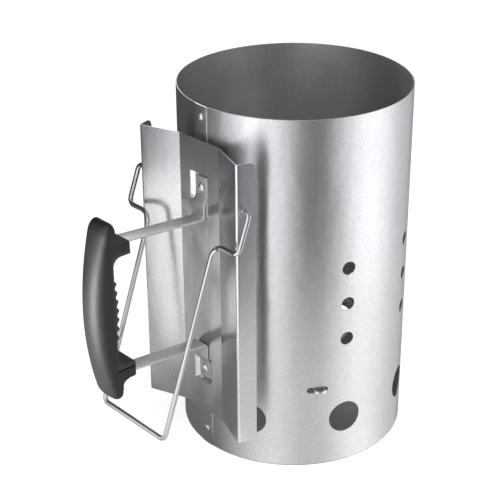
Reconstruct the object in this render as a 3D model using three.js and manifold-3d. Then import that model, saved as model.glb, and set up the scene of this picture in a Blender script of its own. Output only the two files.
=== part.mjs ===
// Chimney charcoal starter: a vented sheet-metal drum with a cone of grate wire inside it,
// a folded heat shield, a two-part handle on two steel straps, and a swinging wire bail.
// Millimetres, +Z up. +X runs from the drum's axis to the handle, and the part stands on Z = 0.

import * as THREE from 'three';
import { mergeVertices } from 'three/addons/utils/BufferGeometryUtils.js';
import Module from 'manifold-3d';

const wasm = await Module();
wasm.setup();

// Fits and cuts
const seatGap = 0.3; // clearance where one piece rests on another
const cutOverrun = 3; // how far a cutter passes beyond the wall that it cuts
const weldDistance = 0.0001; // points closer than this are one point

// Drum: one rolled sheet, lapped and riveted behind the handle
const drumRadius = 95;
const drumHeight = 305;
const drumSheet = 0.8;
const drumFacets = 96;
const lapWidth = 12;
const lapEdge = 2.7; // free edge of the lap, measured sideways from the handle's plane
const lapStep = 3; // length over which the lapped end steps outwards
const lapFacets = 6;

// Vents of the drum
const lightingVentDiameter = 28;
const lightingVentHeight = 42;
const lightingVentAngles = [25, 73.5, 119, 163];
const draughtVentDiameter = 11.5;
const draughtVentHeight = 116;
const draughtVentPitch = 31.4;
const draughtVentRows = 3;
const draughtVentAngles = [73.5, 119, 163];

// Slots that carry the grate
const slotSideRoom = 3.05; // beside each leg of the hairpin
const slotHeadRoom = 2.4;
const slotLevel = 72;
const slotAngles = [58.8, 180, -58.8];

// Grate: rings on three hairpins, whose loops stick out of the slots, and three spokes
const grateWire = 3;
const grateMargin = 6.2; // from the drum's bore to the centre line of the outer ring
const grateInnerRing = 24;
const grateRings = 5;
const grateRise = 33;
const hairpinSpacing = 8.6; // between the centre lines of its two legs
const hairpinReach = 5; // how far a loop stands out of the drum
const hairpinShoulderInset = 4; // from the outer ring to where the legs turn up the cone
const hairpinBend = 5;
const hairpinAngles = [60, 180, -60];
const spokeAngles = [0, 120, -120];

// Heat shield: a flat middle, two wings folded outwards and two flanges folded back
const shieldSheet = 0.8;
const shieldBottom = 38;
const shieldTopMargin = 25.5; // from the drum's upper edge
const shieldStandOff = 6; // from the drum to the outer face of the middle
const shieldMiddle = 46;
const wingWidth = 34;
const wingRise = 13; // from the middle to the outer folds
const flangeDepth = 15.6;
const flangeSpread = 5; // how far a flange leans out sideways
const foldRadius = 2;
const foldFacets = 3;
const flangeCorner = 6;

// Pressed pockets of the shield, which reach back to the drum under the strap feet
const pocketSideRoom = 4.3; // beside the strap
const pocketMiddle = -1; // sideways from the handle's plane
const pocketWall = 1; // slope of the pocket's sides, measured along the sheet
const pocketPlateau = 17.5;
const pocketRamp = 6;
const pocketMargin = 2; // from the end of the strap foot to the end of the pocket's floor

// Straps: flat steel, riveted through shield and drum, screwed into the handle
const strapWidth = 13.4;
const strapSheet = 2;
const strapBend = 3.5;
const strapJoggleBend = 4;
const strapBendFacets = 4;
const strapReach = 77; // free length of an arm, from the shield to the handle
const upperFootInset = 30.7; // from the shield's upper edge
const upperFootLength = 33.8;
const upperArmRise = 6.5;
const lowerFootInset = 30.6; // from the shield's lower edge
const lowerFootLength = 34.4;
const lowerArmRise = 7.4;
const strapGrip = 14; // length of an arm inside the handle

// Rivets
const strapRivetDiameter = 4.8;
const strapRivetHead = 7.4;
const strapRivetDome = 2.2;
const strapRivetInset = 8.9; // from the end of the strap's foot
const seamRivetDiameter = 3.6;
const seamRivetHead = 6.8;
const seamRivetDome = 1.8;
const seamRivetTop = 8.5; // from the drum's upper edge
const seamRivetBottom = 15.3; // from the drum's lower edge
const rivetTail = 1.4;
const rivetTailOverhang = 1.1;
const rivetHoleGap = 0.3;

// Handle: an outer bow with two stubs, and a ribbed grip that lines its inner side
const handleWidth = 24;
const bowDepth = 22;
const bowSag = 12.9; // how far the crown's ends fall back from its middle
const bowAboveStub = 17.2;
const bowBelowStub = 16.5;
const bowEndRound = 9;
const bowEndNarrowing = 4.5;
const bowFacets = 12;
const stubLength = 13;
const upperStubAbove = 2.8; // above the middle of the strap, where the strap enters the stub
const upperStubBelow = 8.7;
const lowerStubAbove = 10.1;
const lowerStubBelow = 2.4;
const gripRebate = 5; // how far the bow is cut back for the grip
const gripSheet = 2.6;
const gripLip = 3; // thickness of the grip along the stubs
const gripSideInset = 1;
const gripCornerRadius = 5;
const gripPlainEnd = 17; // least plain length at each end of the ribs
const gripRibPitch = 6.7;
const gripRibHeight = 1.6;
const gripRibShift = 1.35; // how far the ribs sit above the middle of the grip

// Handle screws, driven upwards through the straps
const screwDiameter = 3.5;
const screwHead = 7;
const screwHeadHeight = 2.2;
const screwCover = 1.4; // material left over a screw's tip
const screwInset = 8; // from the stub's end
const screwHoleGap = 0.3;

// Bail: one bent wire whose ends turn in the flanges of the shield
const bailWire = 4;
const bailPivotInset = 5.4; // from the shield's outer folds
const bailPivotDrop = 37.5; // from the shield's upper edge
const bailFlangeGap = 2; // between the wire and the flange's rear edge
const bailEarReach = 3.2; // how far an ear stands inside its flange
const bailJogRise = 6.3; // from the shield's outer folds
const bailJogDrop = 30.6; // from the pivot
const bailWidth = 78; // between the centre lines of the legs
const bailLegReach = 54.5;
const bailFootDrop = 48.2; // from the underside of the handle's lower stub
const bailEyeRadius = 4;
const bailJogRadius = 6;
const bailLegRadius = 10;
const bailCornerRadius = 5;
const bailHoleGap = 0.4;
const wireSides = 8;
const bendFacets = 5;

const boreSides = 24;
const smallBoreSides = 12;

// Materials
function finish(color, metalness, roughness) {
  return new THREE.MeshStandardMaterial({ color, metalness, roughness });
}

const galvanised = finish(0xb9bbbd, 1, 0.38);
const strapSteel = finish(0xa9aaab, 1, 0.42);
const brightWire = finish(0xd4d5d6, 1, 0.18);
const grateSteel = finish(0x8f8f8e, 1, 0.4);
const rivetMetal = finish(0xd0d1d2, 1, 0.3);
const handlePlastic = finish(0x333335, 0, 0.55);
const gripPlastic = finish(0x262628, 0, 0.6);
const screwSteel = finish(0x9a9b9c, 1, 0.35);

const radians = THREE.MathUtils.degToRad;

// Turn closed geometry into a solid for cutting and joining, and back again
function solid(geometry) {
  const bare = geometry.clone();
  for (const name of Object.keys(bare.attributes)) {
    if (name !== 'position') bare.deleteAttribute(name);
  }
  const merged = mergeVertices(bare, weldDistance);
  return new wasm.Manifold(new wasm.Mesh({
    numProp: 3,
    vertProperties: new Float32Array(merged.attributes.position.array),
    triVerts: new Uint32Array(merged.index.array),
  }));
}

function geometryOf(body) {
  const mesh = body.getMesh();
  const geometry = new THREE.BufferGeometry();
  geometry.setAttribute('position', new THREE.BufferAttribute(new Float32Array(mesh.vertProperties), 3));
  geometry.setIndex(new THREE.BufferAttribute(new Uint32Array(mesh.triVerts), 1));
  geometry.computeVertexNormals();
  return geometry;
}

function cut(body, cutters) {
  return cutters.reduce((rest, cutter) => rest.subtract(solid(cutter)), body);
}

// A box between two corners
function block(low, high) {
  const size = new THREE.Vector3().subVectors(high, low);
  const middle = new THREE.Vector3().addVectors(low, high).multiplyScalar(0.5);
  return new THREE.BoxGeometry(size.x, size.y, size.z).translate(middle.x, middle.y, middle.z);
}

// A rod from one point to another
function rod(from, to, radius, sides) {
  const axis = new THREE.Vector3().subVectors(to, from);
  const length = axis.length();
  const turn = new THREE.Quaternion().setFromUnitVectors(new THREE.Vector3(0, 1, 0), axis.normalize());
  const middle = new THREE.Vector3().addVectors(from, to).multiplyScalar(0.5);
  return new THREE.CylinderGeometry(radius, radius, length, sides)
    .applyQuaternion(turn)
    .translate(middle.x, middle.y, middle.z);
}

// A point on a ray from the drum's axis, shifted sideways
function polar(radius, degrees, height, sideways = 0) {
  const angle = radians(degrees);
  const x = radius * Math.cos(angle) - sideways * Math.sin(angle);
  const y = radius * Math.sin(angle) + sideways * Math.cos(angle);
  return new THREE.Vector3(x, y, height);
}

// Corner points of a bent part, with an arc of the given radius at each inner corner
function bent(points, radii, facets) {
  const path = [points[0]];
  for (let i = 1; i < points.length - 1; i += 1) {
    const corner = points[i];
    const back = new THREE.Vector3().subVectors(points[i - 1], corner).normalize();
    const ahead = new THREE.Vector3().subVectors(points[i + 1], corner).normalize();
    const half = back.angleTo(ahead) / 2;
    const centre = new THREE.Vector3()
      .addVectors(back, ahead)
      .normalize()
      .multiplyScalar(radii[i - 1] / Math.sin(half))
      .add(corner);
    const start = back.clone().multiplyScalar(radii[i - 1] / Math.tan(half)).add(corner).sub(centre);
    const end = ahead.clone().multiplyScalar(radii[i - 1] / Math.tan(half)).add(corner).sub(centre);
    const sweep = start.angleTo(end);
    for (let k = 0; k <= facets; k += 1) {
      const share = k / facets;
      const point = start
        .clone()
        .multiplyScalar(Math.sin((1 - share) * sweep) / Math.sin(sweep))
        .addScaledVector(end, Math.sin(share * sweep) / Math.sin(sweep))
        .add(centre);
      path.push(point);
    }
  }
  path.push(points[points.length - 1]);
  return path;
}

// The centre line of a bent wire, with one step from each point to the next
class WireLine extends THREE.Curve {
  constructor(points) {
    super();
    this.points = points;
  }

  getPoint(t) {
    const place = t * (this.points.length - 1);
    const index = Math.min(Math.floor(place), this.points.length - 2);
    return this.points[index].clone().lerp(this.points[index + 1], place - index);
  }

  getPointAt(t) {
    return this.getPoint(t);
  }

  getTangentAt(t) {
    const index = Math.round(t * (this.points.length - 1));
    const before = this.points[Math.max(index - 1, 0)];
    const here = this.points[index];
    const after = this.points[Math.min(index + 1, this.points.length - 1)];
    const back = new THREE.Vector3().subVectors(here, before).normalize();
    const ahead = new THREE.Vector3().subVectors(after, here).normalize();
    return back.add(ahead).normalize();
  }
}

function wire(points, diameter, sides) {
  const section = new THREE.Shape();
  for (let i = 0; i < sides; i += 1) {
    const angle = (2 * Math.PI * i) / sides;
    const x = (diameter / 2) * Math.cos(angle);
    const y = (diameter / 2) * Math.sin(angle);
    if (i === 0) section.moveTo(x, y);
    else section.lineTo(x, y);
  }
  section.closePath();
  return new THREE.ExtrudeGeometry(section, { steps: points.length - 1, extrudePath: new WireLine(points) });
}

// A closed outline of X and Z points, extruded across the handle's plane
function sideProfile(outline, width) {
  const shape = new THREE.Shape(outline.map(([x, z]) => new THREE.Vector2(x, z)));
  return new THREE.ExtrudeGeometry(shape, { depth: width, bevelEnabled: false })
    .rotateX(Math.PI / 2)
    .translate(0, width / 2, 0);
}

// The outline of a strip of even thickness along a path in the handle's plane
function stripOutline(path, thickness) {
  const above = [];
  const below = [];
  for (let i = 0; i < path.length; i += 1) {
    const before = path[Math.max(i - 1, 0)];
    const after = path[Math.min(i + 1, path.length - 1)];
    const back = new THREE.Vector3().subVectors(path[i], before);
    const ahead = new THREE.Vector3().subVectors(after, path[i]);
    if (i === 0) back.copy(ahead);
    if (i === path.length - 1) ahead.copy(back);
    const half = back.angleTo(ahead) / 2;
    const along = back.normalize().add(ahead.normalize()).normalize();
    const reach = thickness / 2 / Math.cos(half);
    above.push([path[i].x - along.z * reach, path[i].z + along.x * reach]);
    below.push([path[i].x + along.z * reach, path[i].z - along.x * reach]);
  }
  return above.concat(below.reverse());
}

const inPlane = (x, z) => new THREE.Vector3(x, 0, z);

// A closed skin over rings of equal point counts, with a fan over each end ring
function loft(rings) {
  const count = rings[0].length;
  const positions = rings.flat().flatMap((point) => point.toArray());
  const faces = [];
  for (let r = 0; r < rings.length - 1; r += 1) {
    for (let i = 0; i < count; i += 1) {
      const a = r * count + i;
      const b = r * count + ((i + 1) % count);
      faces.push(a, b, b + count, a, b + count, a + count);
    }
  }
  const last = (rings.length - 1) * count;
  for (let i = 1; i < count - 1; i += 1) {
    faces.push(0, i + 1, i, last, last + i, last + i + 1);
  }
  const geometry = new THREE.BufferGeometry();
  geometry.setAttribute('position', new THREE.Float32BufferAttribute(positions, 3));
  geometry.setIndex(faces);
  return geometry;
}

// Drum

function drumOutline() {
  const shape = new THREE.Shape();
  const edge = Math.asin(lapEdge / drumRadius);
  const lapEnd = edge - lapWidth / drumRadius;
  const stepEnd = lapEnd - lapStep / drumRadius;
  const points = [];
  const add = (radius, angle) => {
    points.push(new THREE.Vector2(radius * Math.cos(angle), radius * Math.sin(angle)));
  };
  for (let i = 0; i < lapFacets; i += 1) {
    add(drumRadius + drumSheet, lapEnd + ((edge - lapEnd) * i) / (lapFacets - 1));
  }
  add(drumRadius, edge);
  for (let i = 1; i < drumFacets; i += 1) {
    const angle = (2 * Math.PI * i) / drumFacets;
    if (angle > edge && angle < stepEnd + 2 * Math.PI) add(drumRadius, angle);
  }
  add(drumRadius, stepEnd);
  shape.setFromPoints(points);
  const bore = new THREE.Path();
  const inner = [];
  for (let i = 0; i < drumFacets; i += 1) {
    const angle = (2 * Math.PI * i) / drumFacets;
    inner.push(new THREE.Vector2(drumBore * Math.cos(angle), drumBore * Math.sin(angle)));
  }
  bore.setFromPoints(inner);
  shape.holes.push(bore);
  return shape;
}

function radialHole(degrees, height, diameter, sides, sideways = 0) {
  const inside = polar(drumBore - cutOverrun, degrees, height, sideways);
  const outside = polar(drumRadius + drumSheet + cutOverrun, degrees, height, sideways);
  return rod(inside, outside, diameter / 2, sides);
}

function slotCutter(degrees) {
  const half = (slotLength - slotHeight) / 2;
  const radius = slotHeight / 2;
  const shape = new THREE.Shape();
  shape.absarc(half, 0, radius, -Math.PI / 2, Math.PI / 2);
  shape.absarc(-half, 0, radius, Math.PI / 2, (3 * Math.PI) / 2);
  shape.closePath();
  const depth = drumSheet + 2 * cutOverrun;
  return new THREE.ExtrudeGeometry(shape, { depth, bevelEnabled: false, curveSegments: smallBoreSides })
    .rotateX(Math.PI / 2)
    .translate(0, drumRadius + cutOverrun, slotLevel)
    .rotateZ(radians(degrees) - Math.PI / 2);
}

function drum() {
  const shell = new THREE.ExtrudeGeometry(drumOutline(), { depth: drumHeight, bevelEnabled: false });
  const holes = [];
  for (const side of [1, -1]) {
    for (const angle of lightingVentAngles) {
      holes.push(radialHole(side * angle, lightingVentHeight, lightingVentDiameter, boreSides));
    }
    for (const angle of draughtVentAngles) {
      for (let row = 0; row < draughtVentRows; row += 1) {
        const height = draughtVentHeight + row * draughtVentPitch;
        holes.push(radialHole(side * angle, height, draughtVentDiameter, smallBoreSides));
      }
    }
  }
  for (const angle of slotAngles) holes.push(slotCutter(angle));
  for (const height of strapRivetHeights) {
    holes.push(radialHole(0, height, strapRivetDiameter + 2 * rivetHoleGap, smallBoreSides));
  }
  for (const height of seamRivetHeights) {
    holes.push(radialHole(seamRivetAngle, height, seamRivetDiameter + 2 * rivetHoleGap, smallBoreSides));
  }
  return geometryOf(cut(solid(shell), holes));
}

// Heat shield

function shieldProfile() {
  const corners = [
    new THREE.Vector3(flangeBack, -flangeBackWidth / 2, 0),
    new THREE.Vector3(shieldCrest, -shieldCrestWidth / 2, 0),
    new THREE.Vector3(shieldFace, -shieldMiddle / 2, 0),
    new THREE.Vector3(shieldFace, shieldMiddle / 2, 0),
    new THREE.Vector3(shieldCrest, shieldCrestWidth / 2, 0),
    new THREE.Vector3(flangeBack, flangeBackWidth / 2, 0),
  ];
  const folds = [foldRadius, foldRadius, foldRadius, foldRadius];
  return bent(corners, folds, foldFacets);
}

// Each sheet surface is a grid: places across the shield, times heights
function shieldSurface(inset) {
  const profile = shieldProfile();
  const half = profile.length / 2;
  const wallShift = inset * Math.tan(Math.atan2(pocketDepth, pocketWall) / 2);
  const rim = pocketWidth / 2 + wallShift;
  const floorEdge = rim - pocketWall;
  const across = profile.slice(0, half);
  for (const y of [-rim, -floorEdge, floorEdge, rim]) {
    across.push(new THREE.Vector3(shieldFace, pocketMiddle + y, 0));
  }
  across.push(...profile.slice(half));

  const upperFloorEnd = upperFootEnd + pocketMargin + wallShift;
  const lowerFloorEnd = lowerFootEnd - pocketMargin - wallShift;
  const rows = [
    [shieldBottom, 0],
    [lowerFloorEnd - pocketWall, 0],
    [lowerFloorEnd, 1],
    [lowerFloorEnd + pocketPlateau, 1],
    [lowerFloorEnd + pocketPlateau + pocketRamp, 0],
    [upperFloorEnd - pocketPlateau - pocketRamp, 0],
    [upperFloorEnd - pocketPlateau, 1],
    [upperFloorEnd, 1],
    [upperFloorEnd + pocketWall, 0],
    [shieldTop, 0],
  ];
  return across.map((point, i) => {
    const before = across[Math.max(i - 1, 0)];
    const after = across[Math.min(i + 1, across.length - 1)];
    const back = new THREE.Vector3().subVectors(point, before).normalize();
    const ahead = new THREE.Vector3().subVectors(after, point).normalize();
    const along = new THREE.Vector3().addVectors(back, ahead).normalize();
    const inward = new THREE.Vector3(-along.y, along.x, 0).multiplyScalar(inset);
    const onFloor = i === half + 1 || i === half + 2;
    return rows.map(([height, sunk]) => {
      const depth = onFloor ? pocketDepth * sunk : 0;
      return new THREE.Vector3(point.x + inward.x - depth, point.y + inward.y, height);
    });
  });
}

function sheetBetween(front, back) {
  const columns = front.length;
  const rows = front[0].length;
  const positions = [...front.flat(), ...back.flat()].flatMap((point) => point.toArray());
  const at = (side, column, row) => side * columns * rows + column * rows + row;
  const faces = [];
  const quad = (a, b, c, d) => faces.push(a, b, c, a, c, d);
  for (let i = 0; i < columns - 1; i += 1) {
    for (let j = 0; j < rows - 1; j += 1) {
      quad(at(0, i, j), at(0, i + 1, j), at(0, i + 1, j + 1), at(0, i, j + 1));
      quad(at(1, i, j), at(1, i, j + 1), at(1, i + 1, j + 1), at(1, i + 1, j));
    }
  }
  for (let i = 0; i < columns - 1; i += 1) {
    quad(at(0, i, 0), at(1, i, 0), at(1, i + 1, 0), at(0, i + 1, 0));
    quad(at(0, i, rows - 1), at(0, i + 1, rows - 1), at(1, i + 1, rows - 1), at(1, i, rows - 1));
  }
  for (let j = 0; j < rows - 1; j += 1) {
    quad(at(0, 0, j), at(0, 0, j + 1), at(1, 0, j + 1), at(1, 0, j));
    quad(at(0, columns - 1, j), at(1, columns - 1, j), at(1, columns - 1, j + 1), at(0, columns - 1, j + 1));
  }
  const geometry = new THREE.BufferGeometry();
  geometry.setAttribute('position', new THREE.Float32BufferAttribute(positions, 3));
  geometry.setIndex(faces);
  return geometry;
}

// What falls away outside the rounded rear corner of a flange, at its upper or lower end
function flangeCornerCutter(side, end, into) {
  const shape = new THREE.Shape();
  const x = flangeBack + flangeCorner;
  const z = end + into * flangeCorner;
  const outerX = flangeBack - cutOverrun;
  const outerZ = end - into * cutOverrun;
  shape.moveTo(x, outerZ);
  shape.lineTo(x, end);
  shape.absarc(x, z, flangeCorner, -into * Math.PI / 2, -into * Math.PI, into > 0);
  shape.lineTo(outerX, z);
  shape.lineTo(outerX, outerZ);
  shape.closePath();
  const reach = flangeSpread + 2 * cutOverrun;
  const start = shieldCrestWidth / 2 - cutOverrun;
  return new THREE.ExtrudeGeometry(shape, { depth: reach, bevelEnabled: false, curveSegments: bendFacets })
    .rotateX(Math.PI / 2)
    .translate(0, side > 0 ? start + reach : -start, 0);
}

function heatShield() {
  const plate = solid(sheetBetween(shieldSurface(0), shieldSurface(shieldSheet)));
  const cutters = [];
  for (const side of [1, -1]) {
    const inside = new THREE.Vector3(bailPivot, side * bailEarEnd, bailPivotHeight);
    const outside = new THREE.Vector3(bailPivot, side * (flangeBackWidth / 2 + cutOverrun), bailPivotHeight);
    cutters.push(rod(inside, outside, bailWire / 2 + bailHoleGap, smallBoreSides));
    cutters.push(flangeCornerCutter(side, shieldTop, -1));
    cutters.push(flangeCornerCutter(side, shieldBottom, 1));
  }
  for (const height of strapRivetHeights) {
    cutters.push(radialHole(0, height, strapRivetDiameter + 2 * rivetHoleGap, smallBoreSides));
  }
  return geometryOf(cut(plate, cutters));
}

// Straps

function strap(footEnd, footBend, armRise, rivetHeight, screwHoleHeight) {
  const down = Math.sign(footEnd - footBend);
  const lowerFace = shieldFace + seatGap + strapSheet / 2;
  const footFace = pocketFloor + seatGap + strapSheet / 2;
  const plateauEnd = footEnd + down * (pocketMargin - pocketPlateau);
  const corners = [
    inPlane(footFace, footEnd),
    inPlane(footFace, plateauEnd),
    inPlane(lowerFace, plateauEnd - down * pocketRamp),
    inPlane(lowerFace, footBend),
    inPlane(stubEnd, footBend + armRise),
  ];
  const arm = new THREE.Vector3().subVectors(corners[4], corners[3]).normalize();
  corners[4].addScaledVector(arm, strapGrip);
  const path = bent(corners, [strapJoggleBend, strapJoggleBend, strapBend], strapBendFacets);
  const strip = sideProfile(stripOutline(path, strapSheet), strapWidth);
  const rivetHole = rod(
    inPlane(footFace - cutOverrun, rivetHeight),
    inPlane(footFace + cutOverrun, rivetHeight),
    strapRivetDiameter / 2 + rivetHoleGap,
    smallBoreSides,
  );
  const screwHole = rod(
    inPlane(screwPlace, screwHoleHeight - cutOverrun),
    inPlane(screwPlace, screwHoleHeight + cutOverrun),
    screwDiameter / 2 + screwHoleGap,
    smallBoreSides,
  );
  return geometryOf(cut(solid(strip), [rivetHole, screwHole]));
}

// Rivets: a dome outside, a shank through all sheets, and a flat tail inside the drum

function rivet(shankDiameter, headDiameter, dome, seat, tailSeat) {
  const shank = shankDiameter / 2;
  const tail = shank + rivetTailOverhang;
  const head = headDiameter / 2;
  const profile = [
    new THREE.Vector2(0, tailSeat - rivetTail),
    new THREE.Vector2(tail, tailSeat - rivetTail),
    new THREE.Vector2(tail, tailSeat),
    new THREE.Vector2(shank, tailSeat),
    new THREE.Vector2(shank, seat),
    new THREE.Vector2(head, seat),
  ];
  for (let i = 1; i < bendFacets; i += 1) {
    const angle = (Math.PI / 2) * (i / bendFacets);
    profile.push(new THREE.Vector2(head * Math.cos(angle), seat + dome * Math.sin(angle)));
  }
  profile.push(new THREE.Vector2(0, seat + dome));
  return new THREE.LatheGeometry(profile, smallBoreSides).rotateZ(-Math.PI / 2);
}

// Handle

function bowRing(height) {
  const fromEnd = Math.min(handleTop - height, height - handleBottom);
  const inRound = Math.max(1 - fromEnd / bowEndRound, 0);
  const narrowing = bowEndNarrowing * (1 - Math.sqrt(1 - inRound ** 2));
  const fromMiddle = height - (handleTop + handleBottom) / 2;
  const crown = handleReach - bowRadius + Math.sqrt(bowRadius ** 2 - fromMiddle ** 2);
  const inner = bowInner + narrowing / 2;
  const outer = crown - narrowing;
  const halfWidth = handleWidth / 2 - narrowing;
  const shoulder = (inner + outer) / 2;
  const roundness = 0.87; // 1 gives an ellipse, less gives fuller shoulders
  const ring = [new THREE.Vector3(inner, -halfWidth, height)];
  for (let i = 0; i <= bowFacets; i += 1) {
    const angle = Math.PI * (i / bowFacets - 0.5);
    const along = Math.abs(Math.cos(angle)) ** roundness;
    const across = Math.sign(Math.sin(angle)) * Math.abs(Math.sin(angle)) ** roundness;
    ring.push(new THREE.Vector3(shoulder + (outer - shoulder) * along, halfWidth * across, height));
  }
  ring.push(new THREE.Vector3(inner, halfWidth, height));
  return ring;
}

function bowHeights() {
  const endShares = [0, 0.12, 0.35, 0.65];
  const bodyFacets = 14;
  const low = handleBottom + bowEndRound;
  const high = handleTop - bowEndRound;
  const heights = endShares.map((share) => handleBottom + share * bowEndRound);
  for (let i = 0; i <= bodyFacets; i += 1) heights.push(low + ((high - low) * i) / bodyFacets);
  return heights.concat(endShares.map((share) => handleTop - share * bowEndRound).reverse());
}

function strapSlot(footBend, armRise) {
  const start = inPlane(shieldFace + seatGap + strapSheet / 2, footBend);
  const end = inPlane(stubEnd, footBend + armRise);
  const along = new THREE.Vector3().subVectors(end, start).normalize();
  const path = [
    end.clone().addScaledVector(along, -cutOverrun),
    end.clone().addScaledVector(along, strapGrip + seatGap),
  ];
  return sideProfile(stripOutline(path, strapSheet + 2 * seatGap), strapWidth + 2 * seatGap);
}

function handleBody() {
  const side = handleWidth / 2;
  let body = solid(loft(bowHeights().map(bowRing)));
  const stubs = [
    [lowerStubBottom, lowerGripSeat],
    [upperGripSeat, upperStubTop],
  ];
  for (const [low, high] of stubs) {
    const stub = block(new THREE.Vector3(stubEnd, -side, low), new THREE.Vector3(gripSeat, side, high));
    body = body.add(solid(stub));
  }
  const gripSpace = block(
    new THREE.Vector3(stubEnd - cutOverrun, -side - cutOverrun, lowerGripSeat),
    new THREE.Vector3(gripSeat, side + cutOverrun, upperGripSeat),
  );
  const screws = [
    [upperScrewSeat, upperScrewLength],
    [lowerScrewSeat, lowerScrewLength],
  ];
  const bores = screws.map(([seat, length]) => rod(
    inPlane(screwPlace, seat - cutOverrun),
    inPlane(screwPlace, seat + length + screwHoleGap),
    screwDiameter / 2 + screwHoleGap,
    smallBoreSides,
  ));
  const slots = [strapSlot(upperFootBend, upperArmRise), strapSlot(lowerFootBend, lowerArmRise)];
  return geometryOf(cut(body, [gripSpace, ...slots, ...bores]));
}

function handleGrip() {
  const back = gripSeat - seatGap;
  const top = upperGripSeat - seatGap;
  const bottom = lowerGripSeat + seatGap;
  const corners = [
    inPlane(stubEnd, upperStubBottom),
    inPlane(gripFace, upperStubBottom),
    inPlane(gripFace, lowerStubTop),
    inPlane(stubEnd, lowerStubTop),
  ];
  const path = bent(corners, [gripCornerRadius, gripCornerRadius], bendFacets);
  const inner = path.map((point) => [point.x, point.z]);
  const half = inner.length / 2;
  const ribs = [];
  const ribSteps = 4;
  const gripRibs = Math.floor((upperStubBottom - lowerStubTop - 2 * gripPlainEnd) / gripRibPitch);
  const ribMiddle = (upperStubBottom + lowerStubTop) / 2 + gripRibShift;
  const ribTop = ribMiddle + (gripRibs * gripRibPitch) / 2;
  for (let i = 0; i <= gripRibs * ribSteps; i += 1) {
    const swell = Math.sin((Math.PI * i) / ribSteps) ** 2;
    ribs.push([gripFace - gripRibHeight * swell, ribTop - (i / ribSteps) * gripRibPitch]);
  }
  const outline = [...inner.slice(0, half), ...ribs, ...inner.slice(half)];
  outline.push([stubEnd, bottom], [back, bottom], [back, top], [stubEnd, top]);
  const screwBore = rod(
    inPlane(screwPlace, upperStubBottom - cutOverrun),
    inPlane(screwPlace, upperGripSeat + cutOverrun),
    screwDiameter / 2 + screwHoleGap,
    smallBoreSides,
  );
  return geometryOf(cut(solid(sideProfile(outline, handleWidth - 2 * gripSideInset)), [screwBore]));
}

function handleScrew(length) {
  const shank = screwDiameter / 2;
  const head = screwHead / 2;
  const rim = screwHeadHeight / 3;
  const tip = screwDiameter / 4;
  const profile = [
    new THREE.Vector2(0, -screwHeadHeight),
    new THREE.Vector2(head - rim, -screwHeadHeight),
    new THREE.Vector2(head, -screwHeadHeight + rim),
    new THREE.Vector2(head, 0),
    new THREE.Vector2(shank, 0),
    new THREE.Vector2(shank, length - screwDiameter / 2),
    new THREE.Vector2(tip, length),
    new THREE.Vector2(0, length),
  ];
  return new THREE.LatheGeometry(profile, smallBoreSides).rotateX(Math.PI / 2);
}

// Bail

function bail() {
  const outer = bailOuterWidth / 2;
  const inner = bailWidth / 2;
  const half = [
    new THREE.Vector3(bailPivot, bailEarEnd, bailPivotHeight),
    new THREE.Vector3(bailPivot, outer, bailPivotHeight),
    new THREE.Vector3(bailJog, outer, bailJogHeight),
    new THREE.Vector3(bailJog, inner, bailJogHeight),
    new THREE.Vector3(bailFoot, inner, bailFootHeight),
  ];
  const mirrored = half.map((point) => new THREE.Vector3(point.x, -point.y, point.z)).reverse();
  const radii = [bailEyeRadius, bailJogRadius, bailLegRadius, bailCornerRadius];
  const path = bent([...half, ...mirrored], [...radii, ...radii.slice().reverse()], bendFacets);
  return wire(path, bailWire, wireSides);
}

// Grate

function coneHeight(radius) {
  return hairpinLevel + (hairpinShoulder - radius) * Math.tan(grateSlope);
}

function hairpin(degrees) {
  const side = hairpinSpacing / 2;
  const tip = drumRadius + hairpinReach - grateWire / 2;
  const end = grateInnerRing - grateWire;
  const leg = (sideways) => [
    polar(end, degrees, coneHeight(end), sideways),
    polar(hairpinShoulder, degrees, hairpinLevel, sideways),
    polar(tip, degrees, hairpinLevel, sideways),
  ];
  const corners = [...leg(side), ...leg(-side).reverse()];
  const loop = side - hairpinSpacing / 100;
  return wire(bent(corners, [hairpinBend, loop, loop, hairpinBend], bendFacets), grateWire, wireSides);
}

function spoke(degrees) {
  const inner = grateInnerRing - grateWire;
  const outer = grateOuterRing + grateWire;
  const path = bent(
    [
      polar(inner, degrees, coneHeight(inner)),
      polar(hairpinShoulder, degrees, hairpinLevel),
      polar(outer, degrees, hairpinLevel),
    ],
    [hairpinBend],
    bendFacets,
  );
  return wire(path, grateWire, wireSides);
}

function grateRing(radius) {
  const sides = Math.max(24, Math.round((radius / grateOuterRing) * 56));
  const lift = (grateWire + seatGap) / (radius > hairpinShoulder ? 1 : Math.cos(grateSlope));
  const height = Math.max(coneHeight(radius), hairpinLevel) + lift;
  return new THREE.TorusGeometry(radius, grateWire / 2, wireSides, sides).translate(0, 0, height);
}

// Sizes worked out from the ones above
const drumBore = drumRadius - drumSheet;
const slotLength = hairpinSpacing + grateWire + 2 * slotSideRoom;
const slotHeight = grateWire + slotHeadRoom;
const grateOuterRing = drumBore - grateMargin;
const hairpinShoulder = grateOuterRing - hairpinShoulderInset;
const grateSlope = Math.atan2(grateRise, hairpinShoulder - grateInnerRing);
const shieldTop = drumHeight - shieldTopMargin;
const shieldFace = drumRadius + shieldStandOff;
const shieldCrest = shieldFace + wingRise;
const shieldCrestWidth = shieldMiddle + 2 * wingWidth;
const flangeBack = shieldCrest - flangeDepth;
const flangeBackWidth = shieldCrestWidth + 2 * flangeSpread;
const pocketWidth = strapWidth + 2 * pocketSideRoom;
const upperFootEnd = shieldTop - upperFootInset;
const upperFootBend = upperFootEnd - upperFootLength;
const lowerFootEnd = shieldBottom + lowerFootInset;
const lowerFootBend = lowerFootEnd + lowerFootLength;
const stubEnd = shieldFace + strapReach;
const upperStubTop = upperFootBend + upperArmRise + upperStubAbove;
const upperStubBottom = upperFootBend + upperArmRise - upperStubBelow;
const lowerStubTop = lowerFootBend + lowerArmRise + lowerStubAbove;
const lowerStubBottom = lowerFootBend + lowerArmRise - lowerStubBelow;
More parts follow.
